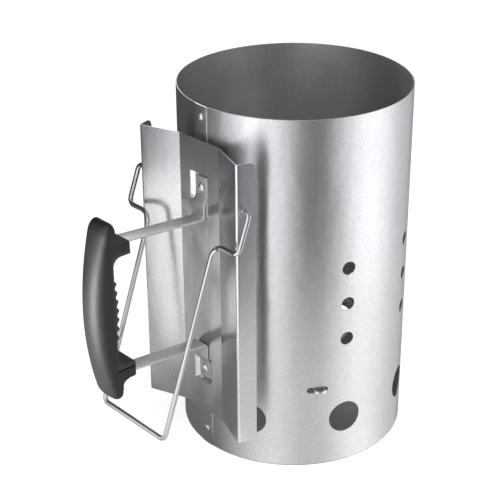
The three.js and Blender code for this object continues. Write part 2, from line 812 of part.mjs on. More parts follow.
const handleTop = upperStubTop + bowAboveStub;
const handleBottom = lowerStubBottom - bowBelowStub;
const bowInner = stubEnd + stubLength;
const handleReach = bowInner + bowDepth; // crown of the bow, from the drum's axis
const bowRadius = ((handleTop - handleBottom) ** 2 / 4 + bowSag ** 2) / (2 * bowSag);
const gripSeat = bowInner + gripRebate;
const gripFace = gripSeat - gripSheet;
const seamRivetAngle = THREE.MathUtils.radToDeg((lapEdge - lapWidth / 2) / drumRadius);
const strapRivetHeights = [upperFootEnd - strapRivetInset, lowerFootEnd + strapRivetInset];
const seamRivetHeights = [drumHeight - seamRivetTop, seamRivetBottom];
const pocketFloor = drumRadius + drumSheet + seatGap + shieldSheet;
const pocketDepth = shieldFace - pocketFloor;
const strapRivetSeat = pocketFloor + strapSheet + 2 * seatGap;
const upperGripSeat = upperStubBottom + gripLip + seatGap;
const lowerGripSeat = lowerStubTop - gripLip - seatGap;
const upperScrewSeat = upperStubBottom - seatGap;
const lowerScrewSeat = lowerStubBottom - seatGap;
const upperScrewLength = upperStubTop - upperScrewSeat - screwCover;
const lowerScrewLength = lowerGripSeat - lowerScrewSeat - screwCover;
const screwPlace = stubEnd + screwInset;
const bailPivot = shieldCrest - bailPivotInset;
const bailPivotHeight = shieldTop - bailPivotDrop;
const bailOuterWidth = flangeBackWidth + bailWire + 2 * bailFlangeGap;
const bailEarEnd = shieldCrestWidth / 2 + (flangeSpread * bailPivotInset) / flangeDepth - bailEarReach;
const bailJog = shieldCrest + bailJogRise;
const bailJogHeight = bailPivotHeight - bailJogDrop;
const bailFoot = bailJog + bailLegReach;
const bailFootHeight = lowerStubBottom - bailFootDrop;
const hairpinLevel = slotLevel - slotHeight / 2 + seatGap + grateWire / 2;

// Height of a strap's middle where the handle screw passes it
function strapHeightAt(x, footBend, armRise) {
  const start = shieldFace + seatGap + strapSheet / 2;
  return footBend + (armRise * (x - start)) / (stubEnd - start);
}

const starter = new THREE.Group();

function piece(name, geometry, material) {
  const mesh = new THREE.Mesh(geometry, material);
  mesh.name = name;
  starter.add(mesh);
  return mesh;
}

piece('drum', drum(), galvanised);
piece('heat_shield', heatShield(), galvanised);

const [upperRivetHeight, lowerRivetHeight] = strapRivetHeights;
const upperScrewHole = strapHeightAt(screwPlace, upperFootBend, upperArmRise);
const lowerScrewHole = strapHeightAt(screwPlace, lowerFootBend, lowerArmRise);
const upperStrap = strap(upperFootEnd, upperFootBend, upperArmRise, upperRivetHeight, upperScrewHole);
const lowerStrap = strap(lowerFootEnd, lowerFootBend, lowerArmRise, lowerRivetHeight, lowerScrewHole);
piece('upper_strap', upperStrap, strapSteel);
piece('lower_strap', lowerStrap, strapSteel);

const tailSeat = drumBore - seatGap;
const strapRivet = rivet(strapRivetDiameter, strapRivetHead, strapRivetDome, strapRivetSeat, tailSeat);
piece('upper_strap_rivet', strapRivet, rivetMetal).position.z = upperRivetHeight;
piece('lower_strap_rivet', strapRivet, rivetMetal).position.z = lowerRivetHeight;

const seamRivetSeat = drumRadius + drumSheet + seatGap;
const seamRivet = rivet(seamRivetDiameter, seamRivetHead, seamRivetDome, seamRivetSeat, tailSeat);
['seam_rivet_top', 'seam_rivet_bottom'].forEach((name, i) => {
  const mesh = piece(name, seamRivet, rivetMetal);
  mesh.rotation.z = radians(seamRivetAngle);
  mesh.position.z = seamRivetHeights[i];
});

piece('handle_body', handleBody(), handlePlastic);
piece('handle_grip', handleGrip(), gripPlastic);
const upperScrew = piece('upper_handle_screw', handleScrew(upperScrewLength), screwSteel);
upperScrew.position.set(screwPlace, 0, upperScrewSeat);
const lowerScrew = piece('lower_handle_screw', handleScrew(lowerScrewLength), screwSteel);
lowerScrew.position.set(screwPlace, 0, lowerScrewSeat);

piece('bail', bail(), brightWire);

hairpinAngles.forEach((angle, i) => piece(`grate_hairpin_${i + 1}`, hairpin(angle), grateSteel));
spokeAngles.forEach((angle, i) => piece(`grate_spoke_${i + 1}`, spoke(angle), grateSteel));
for (let i = 0; i < grateRings; i += 1) {
  const radius = grateOuterRing - ((grateOuterRing - grateInnerRing) * i) / (grateRings - 1);
  piece(`grate_ring_${i + 1}`, grateRing(radius), grateSteel);
}

// The origin is the middle of the whole part's footprint, on the surface that it stands on
starter.position.x = (drumRadius + hairpinReach - handleReach) / 2;

export default starter;
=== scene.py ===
# Finished looks of the chimney charcoal starter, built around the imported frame.
# Pieces are modelled in millimetres from the drum's axis, then moved to metres in the frame.
import math

import bmesh
import bpy
from mathutils import Matrix, Vector


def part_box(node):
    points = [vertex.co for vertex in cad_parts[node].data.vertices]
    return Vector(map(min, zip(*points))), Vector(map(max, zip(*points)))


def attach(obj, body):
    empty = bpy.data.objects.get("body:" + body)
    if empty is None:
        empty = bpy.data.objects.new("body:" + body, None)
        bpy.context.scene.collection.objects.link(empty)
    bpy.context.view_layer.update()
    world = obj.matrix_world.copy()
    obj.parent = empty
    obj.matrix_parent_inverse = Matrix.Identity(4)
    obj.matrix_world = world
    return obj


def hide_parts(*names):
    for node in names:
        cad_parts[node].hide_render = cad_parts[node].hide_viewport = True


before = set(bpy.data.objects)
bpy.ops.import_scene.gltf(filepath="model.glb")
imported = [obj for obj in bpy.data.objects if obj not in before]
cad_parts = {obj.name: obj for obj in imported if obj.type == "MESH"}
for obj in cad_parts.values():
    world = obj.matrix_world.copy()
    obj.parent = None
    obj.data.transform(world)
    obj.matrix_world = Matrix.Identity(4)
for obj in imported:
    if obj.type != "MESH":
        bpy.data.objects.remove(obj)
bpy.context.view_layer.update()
scene = bpy.context.scene
mm = 0.001
drumLow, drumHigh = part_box("drum")
drumRadius = (drumHigh[1] - drumLow[1]) / 2 / mm
drumHeight = drumHigh[2] / mm
drumAxisX = drumLow[0] + drumRadius * mm
toFrame = Matrix.Translation((drumAxisX, 0, 0)) @ Matrix.Scale(mm, 4)
# room that the frame leaves between pieces which touch on the real object
seatGap = 0.3
meshValues = {"weldDistance": 0.0005, "bevelSegments": 3, "bevelAngle": 40, "sharpAngle": 38}


# Shared helpers
def newObject(name, mesh):
    obj = bpy.data.objects.new(name, mesh)
    scene.collection.objects.link(obj)
    return obj


def meshObject(name, points, faces):
    mesh = bpy.data.meshes.new(name)
    mesh.from_pydata([tuple(p) for p in points], [], faces)
    mesh.update()
    return newObject(name, mesh)


def facesOutward(obj):
    work = bmesh.new()
    work.from_mesh(obj.data)
    bmesh.ops.remove_doubles(work, verts=work.verts, dist=meshValues["weldDistance"])
    bmesh.ops.recalc_face_normals(work, faces=work.faces)
    work.to_mesh(obj.data)
    work.free()


def makePlain(obj):
    # the evaluated shape becomes the object's own mesh, and its modifiers go
    graph = bpy.context.evaluated_depsgraph_get()
    plain = bpy.data.meshes.new_from_object(obj.evaluated_get(graph))
    obj.modifiers.clear()
    old = obj.data
    obj.data = plain
    plain.name = obj.name
    bpy.data.meshes.remove(old)


def drop(*objs):
    for obj in objs:
        bpy.data.objects.remove(obj, do_unlink=True)


def cutWith(obj, *cutters):
    for cutter in cutters:
        modifier = obj.modifiers.new("cut", "BOOLEAN")
        modifier.operation = "DIFFERENCE"
        modifier.solver = "EXACT"
        modifier.object = cutter
    makePlain(obj)
    drop(*cutters)


def finishPiece(obj, body, material, nodes, sharpAngle=meshValues["sharpAngle"]):
    obj.data.transform(toFrame)
    obj.data.shade_smooth()
    obj.data.set_sharp_from_angle(angle=math.radians(sharpAngle))
    obj.data.materials.clear()
    obj.data.materials.append(material)
    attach(obj, body)
    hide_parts(*nodes)
    print("made", obj.name, len(obj.data.polygons), "faces")


def rounded(points, radii, steps):
    # corner points of a bent part, with an arc of the given radius at each inner corner
    path = [Vector(points[0])]
    for i in range(1, len(points) - 1):
        corner = Vector(points[i])
        back = (Vector(points[i - 1]) - corner).normalized()
        ahead = (Vector(points[i + 1]) - corner).normalized()
        half = back.angle(ahead) / 2
        radius = radii[i - 1]
        centre = corner + (back + ahead).normalized() * radius / math.sin(half)
        start = corner + back * radius / math.tan(half) - centre
        end = corner + ahead * radius / math.tan(half) - centre
        for k in range(steps + 1):
            path.append(centre + start.slerp(end, k / steps) * radius)
    path.append(Vector(points[-1]))
    return path


def smoothStep(value):
    t = min(max(value, 0), 1)
    return t * t * (3 - 2 * t)


def quarter(step, steps):
    # sine and cosine at one of the steps of a quarter turn
    angle = math.pi / 2 * step / steps
    return math.sin(angle), math.cos(angle)


def arcDrop(radius, along):
    # how far a quarter circle has dropped at a distance from its crown
    return radius - math.sqrt(max(radius ** 2 - along ** 2, 0))


def directionAt(points, i):
    # the direction of a path at one of its points
    return (points[min(i + 1, len(points) - 1)] - points[max(i - 1, 0)]).normalized()


def around(radius, degrees, height, sideways=0):
    # a point on a ray from the drum's axis, shifted sideways
    angle = math.radians(degrees)
    x = radius * math.cos(angle) - sideways * math.sin(angle)
    y = radius * math.sin(angle) + sideways * math.cos(angle)
    return Vector((x, y, height))


def sideFaces(ringCount, count):
    # the quads between neighbouring rings of equal point counts
    faces = []
    for r in range(ringCount - 1):
        for i in range(count):
            a = r * count + i
            b = r * count + (i + 1) % count
            faces.append((a, b, b + count, a + count))
    return faces


def skin(name, rings, capped=True):
    # a closed skin over rings of equal point counts
    count = len(rings[0])
    faces = sideFaces(len(rings), count)
    if capped:
        faces.append(tuple(reversed(range(count))))
        faces.append(tuple((len(rings) - 1) * count + i for i in range(count)))
    obj = meshObject(name, [p for ring in rings for p in ring], faces)
    facesOutward(obj)
    return obj


def lathe(name, profile, sides):
    # profile of (radius, height) pairs that starts and ends on the axis
    rings = []
    for radius, height in profile[1:-1]:
        ring = []
        for i in range(sides):
            angle = 2 * math.pi * i / sides
            ring.append((radius * math.cos(angle), radius * math.sin(angle), height))
        rings.append(ring)
    return skin(name, rings)


def prism(name, outline, low, high, edge=0):
    # an outline of (x, z) pairs, extruded from y = low to y = high
    rings = [[(x, y, z) for x, z in outline] for y in (low, high)]
    obj = skin(name, rings)
    if edge > 0:
        bevel = obj.modifiers.new("edge", "BEVEL")
        bevel.width = edge
        bevel.segments = meshValues["bevelSegments"]
        bevel.limit_method = "ANGLE"
        bevel.angle_limit = math.radians(meshValues["bevelAngle"])
        makePlain(obj)
    return obj


# Node trees
def connect(tree, node, links):
    # a socket of another node is linked, and any other value is set on the node's own socket
    for key, source in links.items():
        socket = node.inputs[key]
        if isinstance(source, bpy.types.NodeSocket):
            tree.links.new(source, socket)
        else:
            socket.default_value = source


def addNode(tree, kind, links=None, **settings):
    node = tree.nodes.new(kind)
    for key, value in settings.items():
        setattr(node, key, value)
    connect(tree, node, links or {})
    return node


def mathOf(tree, operation, *values):
    return addNode(tree, "ShaderNodeMath", dict(enumerate(values)), operation=operation).outputs[0]


def halfOf(tree, value):
    return mathOf(tree, "MULTIPLY", value, 0.5)


def newTree(name, inputs):
    tree = bpy.data.node_groups.new(name, "GeometryNodeTree")
    tree.interface.new_socket("Geometry", in_out="INPUT", socket_type="NodeSocketGeometry")
    for label, kind in inputs:
        tree.interface.new_socket(label, in_out="INPUT", socket_type="NodeSocket" + kind)
    tree.interface.new_socket("Geometry", in_out="OUTPUT", socket_type="NodeSocketGeometry")
    groupIn = tree.nodes.new("NodeGroupInput")
    groupOut = tree.nodes.new("NodeGroupOutput")
    return tree, groupIn.outputs, groupOut.inputs


def grow(obj, tree, values):
    # each input is set by its socket's identifier before the object is evaluated
    modifier = obj.modifiers.new(tree.name, "NODES")
    modifier.node_group = tree
    for item in tree.interface.items_tree:
        if item.in_out == "INPUT" and item.name in values:
            modifier[item.identifier] = values[item.name]
    makePlain(obj)


def endTree(tree, geometry, groupIn, groupOut):
    realized = addNode(tree, "GeometryNodeRealizeInstances", {"Geometry": geometry})
    smooth = addNode(tree, "GeometryNodeSetShadeSmooth", {"Geometry": realized.outputs[0]})
    dressed = addNode(tree, "GeometryNodeSetMaterial", {
        "Geometry": smooth.outputs[0],
        "Material": groupIn["Material"],
    })
    tree.links.new(dressed.outputs[0], groupOut["Geometry"])


def wireAlong(tree, groupIn, curve):
    # round wire along a curve
    section = addNode(tree, "GeometryNodeCurvePrimitiveCircle", {
        "Resolution": groupIn["Wire Sides"],
        "Radius": halfOf(tree, groupIn["Wire Diameter"]),
    })
    tube = addNode(tree, "GeometryNodeCurveToMesh", {
        "Curve": curve,
        "Profile Curve": section.outputs[0],
        "Fill Caps": True,
    })
    return tube.outputs[0]


def onEachPoint(tree, groupIn, shape):
    # one shape on each point, turned by the angles stored there
    turn = addNode(tree, "GeometryNodeInputNamedAttribute", {"Name": "turn"}, data_type="FLOAT_VECTOR")
    rotation = addNode(tree, "FunctionNodeEulerToRotation", {"Euler": turn.outputs["Attribute"]})
    placed = addNode(tree, "GeometryNodeInstanceOnPoints", {
        "Points": groupIn["Geometry"],
        "Instance": shape,
        "Rotation": rotation.outputs[0],
    })
    return placed.outputs[0]


def bentWireTree():
    # edges of the object become round wire, bent to the radius stored on each corner
    tree, groupIn, groupOut = newTree("bentWire", [
        ("Wire Diameter", "Float"), ("Wire Sides", "Int"), ("Bend Steps", "Int"), ("Material", "Material"),
    ])
    line = addNode(tree, "GeometryNodeMeshToCurve", {"Mesh": groupIn["Geometry"]})
    radius = addNode(tree, "GeometryNodeInputNamedAttribute", {"Name": "bendRadius"}, data_type="FLOAT")
    fillet = addNode(tree, "GeometryNodeFilletCurve", {
        "Curve": line.outputs[0],
        "Count": groupIn["Bend Steps"],
        "Radius": radius.outputs["Attribute"],
    }, mode="POLY")
    endTree(tree, wireAlong(tree, groupIn, fillet.outputs[0]), groupIn, groupOut)
    return tree


def ringConeTree():
    # rings of wire that climb a cone towards the middle
    tree, groupIn, groupOut = newTree("ringCone", [
        ("Ring Count", "Int"), ("Outer Radius", "Float"), ("Ring Pitch", "Float"), ("Level", "Float"),
        ("Cone Foot", "Float"), ("Cone Slope", "Float"), ("Cone Lift", "Float"), ("Wire Diameter", "Float"),
        ("Wire Sides", "Int"), ("Ring Steps", "Int"), ("Material", "Material"),
    ])
    index = addNode(tree, "GeometryNodeInputIndex").outputs[0]
    stepIn = mathOf(tree, "MULTIPLY", index, groupIn["Ring Pitch"])
    radius = mathOf(tree, "SUBTRACT", groupIn["Outer Radius"], stepIn)
    inside = mathOf(tree, "MAXIMUM", mathOf(tree, "SUBTRACT", groupIn["Cone Foot"], radius), 0.0)
    onCone = mathOf(tree, "MULTIPLY", mathOf(tree, "GREATER_THAN", inside, 0.0), groupIn["Cone Lift"])
    climb = mathOf(tree, "ADD", mathOf(tree, "MULTIPLY", inside, groupIn["Cone Slope"]), onCone)
    height = mathOf(tree, "ADD", groupIn["Level"], climb)
    place = addNode(tree, "ShaderNodeCombineXYZ", {"Z": height})
    size = addNode(tree, "ShaderNodeCombineXYZ", {"X": radius, "Y": radius, "Z": radius})
    points = addNode(tree, "GeometryNodePoints", {
        "Count": groupIn["Ring Count"],
        "Position": place.outputs[0],
    })
    circle = addNode(tree, "GeometryNodeCurvePrimitiveCircle", {
        "Resolution": groupIn["Ring Steps"],
        "Radius": 1.0,
    })
    placed = addNode(tree, "GeometryNodeInstanceOnPoints", {
        "Points": points.outputs[0],
        "Instance": circle.outputs[0],
        "Scale": size.outputs[0],
    })
    rings = addNode(tree, "GeometryNodeRealizeInstances", {"Geometry": placed.outputs[0]})
    both = addNode(tree, "GeometryNodeJoinGeometry")
    tree.links.new(groupIn["Geometry"], both.inputs[0])
    tree.links.new(wireAlong(tree, groupIn, rings.outputs[0]), both.inputs[0])
    endTree(tree, both.outputs[0], groupIn, groupOut)
    return tree


def fastenerRowTree():
    # one fastener or cutter on each point
    tree, groupIn, groupOut = newTree("fastenerRow", [("Fastener", "Object"), ("Material", "Material")])
    shape = addNode(tree, "GeometryNodeObjectInfo", {"Object": groupIn["Fastener"]})
    shape.transform_space = "ORIGINAL"
    endTree(tree, onEachPoint(tree, groupIn, shape.outputs["Geometry"]), groupIn, groupOut)
    return tree


def perforationTree():
    # a round punch on each point
    tree, groupIn, groupOut = newTree("perforations", [
        ("Hole Diameter", "Float"), ("Punch Length", "Float"), ("Hole Sides", "Int"),
        ("Material", "Material"),
    ])
    punch = addNode(tree, "GeometryNodeMeshCylinder", {
        "Vertices": groupIn["Hole Sides"],
        "Radius": halfOf(tree, groupIn["Hole Diameter"]),
        "Depth": groupIn["Punch Length"],
    })
    endTree(tree, onEachPoint(tree, groupIn, punch.outputs["Mesh"]), groupIn, groupOut)
    return tree


wireTree = bentWireTree()
ringTree = ringConeTree()
fastenerTree = fastenerRowTree()
punchTree = perforationTree()


def storeOnPoints(mesh, label, kind, field, values):
    attribute = mesh.attributes.new(label, kind, "POINT")
    for i, value in enumerate(values):
        setattr(attribute.data[i], field, value)


def pointCloud(name, places, turns):
    obj = meshObject(name, places, [])
    storeOnPoints(obj.data, "turn", "FLOAT_VECTOR", "vector", turns)
    return obj


def wirePaths(name, paths):
    # paths is a list of (points, radii), joined as loose edges of one object
    points = []
    edges = []
    radii = []
    for corners, bends in paths:
        start = len(points)
        points += [tuple(p) for p in corners]
        radii += [0.0] + list(bends) + [0.0]
        edges += [(start + i, start + i + 1) for i in range(len(corners) - 1)]
    mesh = bpy.data.meshes.new(name)
    mesh.from_pydata(points, edges, [])
    storeOnPoints(mesh, "bendRadius", "FLOAT", "value", radii)
    return newObject(name, mesh)


# Materials
def newMaterial(name):
    material = bpy.data.materials.new(name)
    material.use_nodes = True
    tree = material.node_tree
    shader = tree.nodes["Principled BSDF"]
    place = addNode(tree, "ShaderNodeTexCoord").outputs["Object"]
    return material, tree, shader, place


def noiseIn(tree, place, scale, detail, roughness=0.55):
    spread = addNode(tree, "ShaderNodeMapping", {"Vector": place, "Scale": scale})
    noise = addNode(tree, "ShaderNodeTexNoise", {
        "Vector": spread.outputs[0],
        "Scale": 1.0,
        "Detail": detail,
        "Roughness": roughness,
    })
    return noise.outputs["Fac"]


def spanOf(tree, value, low, high, fromLow=0.3, fromHigh=0.7, kind="LINEAR"):
    return addNode(tree, "ShaderNodeMapRange", {
        "Value": value,
        "From Min": fromLow,
        "From Max": fromHigh,
        "To Min": low,
        "To Max": high,
    }, interpolation_type=kind).outputs["Result"]


def mixColour(tree, factor, first, second, blend="MIX"):
    # the node's sockets 6 and 7 and its output 2 are the ones for colours
    links = {"Factor": factor, 6: first, 7: second}
    return addNode(tree, "ShaderNodeMix", links, data_type="RGBA", blend_type=blend).outputs[2]


def grey(value, tint=(1, 1, 1)):
    return (value * tint[0], value * tint[1], value * tint[2], 1)


def toned(tree, noise, look):
    # the look's dark and light tones, mixed by a noise
    return mixColour(tree, spanOf(tree, noise, 0, 1), grey(look["dark"], look["tint"]),
                     grey(look["light"], look["tint"]))


def bumpFrom(tree, height, strength, distance, under=None):
    links = {"Height": height, "Strength": strength, "Distance": distance}
    if under:
        links["Normal"] = under
    return addNode(tree, "ShaderNodeBump", links).outputs[0]


def rolledSheet(name, look):
    # satin rolled steel: soft streaks along the grain, fine grain, mottle, faint smudges and shallow waves
    material, tree, shader, place = newMaterial(name)
    streaks = noiseIn(tree, place, look["streakScale"], look["streakDetail"])
    grain = noiseIn(tree, place, look["grainScale"], look["grainDetail"], look["grainBreakUp"])
    smudge = noiseIn(tree, place, look["smudgeScale"], look["softDetail"])
    mottle = noiseIn(tree, place, look["mottleScale"], look["softDetail"])
    ripple = noiseIn(tree, place, look["waveScale"], look["softDetail"])
    mottled = mixColour(tree, look["mottleShare"], toned(tree, streaks, look), spanOf(tree, mottle, 0, 1),
                        "OVERLAY")
    waves = bumpFrom(tree, ripple, 1.0, look["waveDepth"])
    connect(tree, shader, {
        "Base Color": mixColour(tree, look["grainShare"], mottled, spanOf(tree, grain, 0, 1), "OVERLAY"),
        "Roughness": spanOf(tree, smudge, look["roughLow"], look["roughHigh"]),
        "Normal": bumpFrom(tree, grain, look["bump"], look["bumpDepth"], waves),
        "Metallic": 1.0,
        "Anisotropic": look["anisotropic"],
        "Anisotropic Rotation": look["grainTurn"],
    })
    return material


def mouldedPlastic(name, look):
    # dark moulded plastic with a fine texture, a slight sparkle and wear
    material, tree, shader, place = newMaterial(name)
    texture = noiseIn(tree, place, look["textureScale"], look["detail"], look["textureBreakUp"])
    wear = noiseIn(tree, place, look["wearScale"], look["detail"])
    dull = look["specular"] * (1 - look["sparkle"])
    bright = look["specular"] * (1 + look["sparkle"])
    connect(tree, shader, {
        "Base Color": toned(tree, wear, look),
        "Roughness": spanOf(tree, wear, look["roughLow"], look["roughHigh"]),
        "Normal": bumpFrom(tree, texture, look["bump"], look["bumpDepth"]),
        "Specular IOR Level": spanOf(tree, texture, dull, bright),
    })
    return material


drumSheetLook = {
    "streakScale": (14, 14, 1500), "grainScale": (500, 500, 2400), "smudgeScale": (14, 14, 7),
    "mottleScale": (650, 650, 650), "waveScale": (38, 38, 22),
    "streakDetail": 3, "grainDetail": 4, "grainBreakUp": 0.7, "softDetail": 2,
    "dark": 0.635, "light": 0.675, "tint": (1.0, 1.0, 1.0), "grainShare": 0.14, "mottleShare": 0.16,
    "roughLow": 0.30, "roughHigh": 0.42, "bump": 0.08, "bumpDepth": 0.0002, "waveDepth": 0.0007,
    "anisotropic": 0.55, "grainTurn": 0.25,
}
shieldSheetLook = dict(drumSheetLook, dark=0.69, light=0.725, tint=(0.985, 0.985, 1.01), grainShare=0.08,
                       roughLow=0.18, roughHigh=0.25, bump=0.0, anisotropic=0.8, waveDepth=0.0003)


strapLook = dict(drumSheetLook, streakScale=(8, 400, 8), grainScale=(500, 900, 500), waveDepth=0.0002,
                 dark=0.54, light=0.61, roughLow=0.44, roughHigh=0.56, bump=0.04, anisotropic=0.0,
                 grainTurn=0.0)


rivetLook = dict(drumSheetLook, streakScale=(90, 90, 90), dark=0.66, light=0.78, roughLow=0.22,
                 roughHigh=0.34, bump=0.02, anisotropic=0.0, grainTurn=0.0, waveDepth=0.0)


wireLook = dict(rivetLook, streakScale=(30, 30, 30), dark=0.48, light=0.56, grainShare=0.03,
                mottleShare=0.03, roughLow=0.08, roughHigh=0.16)


grateLook = dict(rivetLook, streakScale=(60, 60, 60), dark=0.62, light=0.74, roughLow=0.16, roughHigh=0.26)
screwLook = dict(rivetLook, dark=0.42, light=0.55, roughLow=0.28, roughHigh=0.4)
handleLook = {
    "textureScale": (1000, 1000, 1000), "wearScale": (35, 35, 35), "detail": 3, "textureBreakUp": 0.6,
    "dark": 0.003, "light": 0.005, "tint": (1.0, 1.0, 1.02), "roughLow": 0.48, "roughHigh": 0.56,
    "bump": 0.35, "bumpDepth": 0.0003, "specular": 0.42, "sparkle": 0.32,
}
# the grip is a copy of the body's plastic with lighter tones: partly a rubbery plastic of its own, and
# partly painted light for the light that its ribs catch from the drum beside them
gripLook = dict(handleLook, dark=0.014, light=0.022, roughLow=0.4, roughHigh=0.5, bump=0.2, specular=0.5)

galvanisedDrum = rolledSheet("galvanisedDrum", drumSheetLook)
galvanisedShield = rolledSheet("galvanisedShield", shieldSheetLook)
strapSteel = rolledSheet("strapSteel", strapLook)
rivetMetal = rolledSheet("rivetMetal", rivetLook)
brightWire = rolledSheet("brightWire", wireLook)
grateWire = rolledSheet("grateWire", grateLook)
screwSteel = rolledSheet("screwSteel", screwLook)
handlePlastic = mouldedPlastic("handlePlastic", handleLook)
gripPlastic = mouldedPlastic("gripPlastic", gripLook)
print("materials ready")


# Drum: one rolled sheet, lapped behind the handle, with punched vents and grate slots
drumValues = {
    "sheet": 0.8, "facets": 360, "rimEdge": 0.2,
    "lapWidth": 12, "lapEdge": 2.7, "lapStep": 3, "lapFacets": 24, "lapCliff": 0.0002, "facetStart": 0.5,
    "lightingVent": 28, "lightingLevel": 42, "lightingAngles": (25, 73.5, 119, 163),
    "draughtVent": 11.5, "draughtLevel": 116, "draughtPitch": 31.4, "draughtRows": 3,
    "draughtAngles": (73.5, 119, 163),
    "slotLength": 17.7, "slotHeight": 5.4, "slotLevel": 72, "slotAngles": (58.8, 180, -58.8),
    "slotSteps": 14, "holeSides": 64, "smallHoleSides": 40, "overrun": 3,
}
rivetValues = {
    "strap": {"shank": 4.8, "head": 7.4, "dome": 2.2, "levels": (239.9, 77.5)},
    "seam": {"shank": 3.6, "head": 6.8, "dome": 1.8, "levels": (drumHeight - 8.5, 15.3)},
    "seamOffset": -3.3, "tail": 1.4, "tailOverhang": 1.1, "tailEdge": 1 / 3, "rimShare": 1 / 8,
    "domeSteps": 10, "domeTip": 0.05, "sides": 40,
}


def drumOutline():
    # outer radius at each angle round the drum, with the lapped end stepping outwards
    v = drumValues
    edge = math.asin(v["lapEdge"] / drumRadius)
    lapEnd = edge - v["lapWidth"] / drumRadius
    stepEnd = lapEnd - v["lapStep"] / drumRadius
    outline = []
    for i in range(v["lapFacets"] + 1):
        angle = stepEnd + (edge - stepEnd) * i / v["lapFacets"]
        lift = v["sheet"] * smoothStep((angle - stepEnd) / (lapEnd - stepEnd))
        outline.append((angle, drumRadius + lift))
    outline.append((edge + v["lapCliff"], drumRadius))
    first = edge + math.radians(v["facetStart"])
    last = stepEnd + 2 * math.pi - math.radians(v["facetStart"])
    for i in range(v["facets"]):
        outline.append((first + (last - first) * i / (v["facets"] - 1), drumRadius))
    return outline


def drumShell():
    v = drumValues
    bore = drumRadius - v["sheet"]
    edge = v["rimEdge"]
    rings = []
    for angle, outer in drumOutline():
        section = [
            (outer, edge), (outer, drumHeight - edge), (outer - edge, drumHeight), (bore + edge, drumHeight),
            (bore, drumHeight - edge), (bore, edge), (bore + edge, 0), (outer - edge, 0),
        ]
        rings.append([(r * math.cos(angle), r * math.sin(angle), z) for r, z in section])
    rings.append(rings[0])
    return skin("drumShell", rings, capped=False)


def punches(name, diameter, places, sides=drumValues["smallHoleSides"]):
    # a round punch at each (degrees, height) on the drum's wall
    v = drumValues
    middle = drumRadius - v["sheet"] / 2
    cloud = pointCloud(
        name,
        [around(middle, degrees, height) for degrees, height in places],
        [(0, math.pi / 2, math.radians(degrees)) for degrees, height in places],
    )
    grow(cloud, punchTree, {
        "Hole Diameter": diameter,
        "Punch Length": 2 * v["overrun"] + v["sheet"],
        "Hole Sides": sides,
        "Material": galvanisedDrum,
    })
    return cloud


def rivetPunches(name, kind, degrees=0):
    # punches for the shanks of one kind of rivet
    rivet = rivetValues[kind]
    return punches(name, rivet["shank"] + 2 * seatGap, [(degrees, level) for level in rivet["levels"]])


def slotPunch():
    v = drumValues
    radius = v["slotHeight"] / 2
    flat = (v["slotLength"] - v["slotHeight"]) / 2
    outline = []
    for side, start in ((1, -math.pi / 2), (-1, math.pi / 2)):
        for i in range(v["slotSteps"] + 1):
            angle = start + math.pi * i / v["slotSteps"]
            outline.append((side * flat + radius * math.cos(angle), radius * math.sin(angle)))
    return prism("slotPunch", outline, -v["overrun"], v["overrun"])


def slotPunches():
    v = drumValues
    punch = slotPunch()
    cloud = pointCloud(
        "slotPunches",
        [around(drumRadius, degrees, v["slotLevel"]) for degrees in v["slotAngles"]],
        [(0, 0, math.radians(degrees) - math.pi / 2) for degrees in v["slotAngles"]],
    )
    grow(cloud, fastenerTree, {"Fastener": punch, "Material": galvanisedDrum})
    drop(punch)
    return cloud


def seamAngle():
    return math.degrees(rivetValues["seamOffset"] / drumRadius)


def makeDrum():
    v = drumValues
    lighting = [(s * a, v["lightingLevel"]) for s in (1, -1) for a in v["lightingAngles"]]
    levels = [v["draughtLevel"] + row * v["draughtPitch"] for row in range(v["draughtRows"])]
    draught = [(s * a, level) for s in (1, -1) for a in v["draughtAngles"] for level in levels]
    shell = drumShell()
    cutWith(
        shell,
        punches("lightingPunches", v["lightingVent"], lighting, v["holeSides"]),
        punches("draughtPunches", v["draughtVent"], draught),
        rivetPunches("strapRivetPunches", "strap"),
        rivetPunches("seamRivetPunches", "seam", seamAngle()),
        slotPunches(),
    )
    finishPiece(shell, "starter", galvanisedDrum, ["drum"])


makeDrum()


# Heat shield: one folded sheet with two pressed pockets under the strap feet
shieldValues = {
    "sheet": 0.8, "bottom": 38, "top": drumHeight - 25.5, "face": drumRadius + 6, "middle": 46,
    "wingWidth": 34, "wingRise": 13, "flangeDepth": 15.6, "flangeSpread": 5,
    "foldRadius": 2, "foldSteps": 7, "flangeCorner": 6, "flangeColumns": 12,
    "pocketDepth": 4.1, "pocketHalfWidth": 10.7, "pocketMiddle": -0.7, "pocketLeftWall": 4.8,
    "pocketLeftStep": 3.3, "pocketLeftFloor": 4.1, "pocketRightWall": 1, "pocketEndWall": 1.8,
    "pocketCorner": 1.4, "pocketRamp": 7, "pocketSoft": 0.14, "pocketStep": 0.45,
    "upperPocket": (227, 252), "lowerPocket": (65.4, 90.4),
    "bailPivot": (drumRadius + 13.6, 242), "bailHole": 4.8, "bailHoleSides": 32, "bailPunchEnds": (52, 66),
}


def softSlope(share):
    # a straight slope from 0 to 1 with rounded ends
    t = min(max(share, 0), 1)
    e = shieldValues["pocketSoft"]
    if t > 1 - e:
        return 1 - (1 - t) ** 2 / (2 * e * (1 - e))
    return t * t / (2 * e * (1 - e)) if t < e else (t - e / 2) / (1 - e)


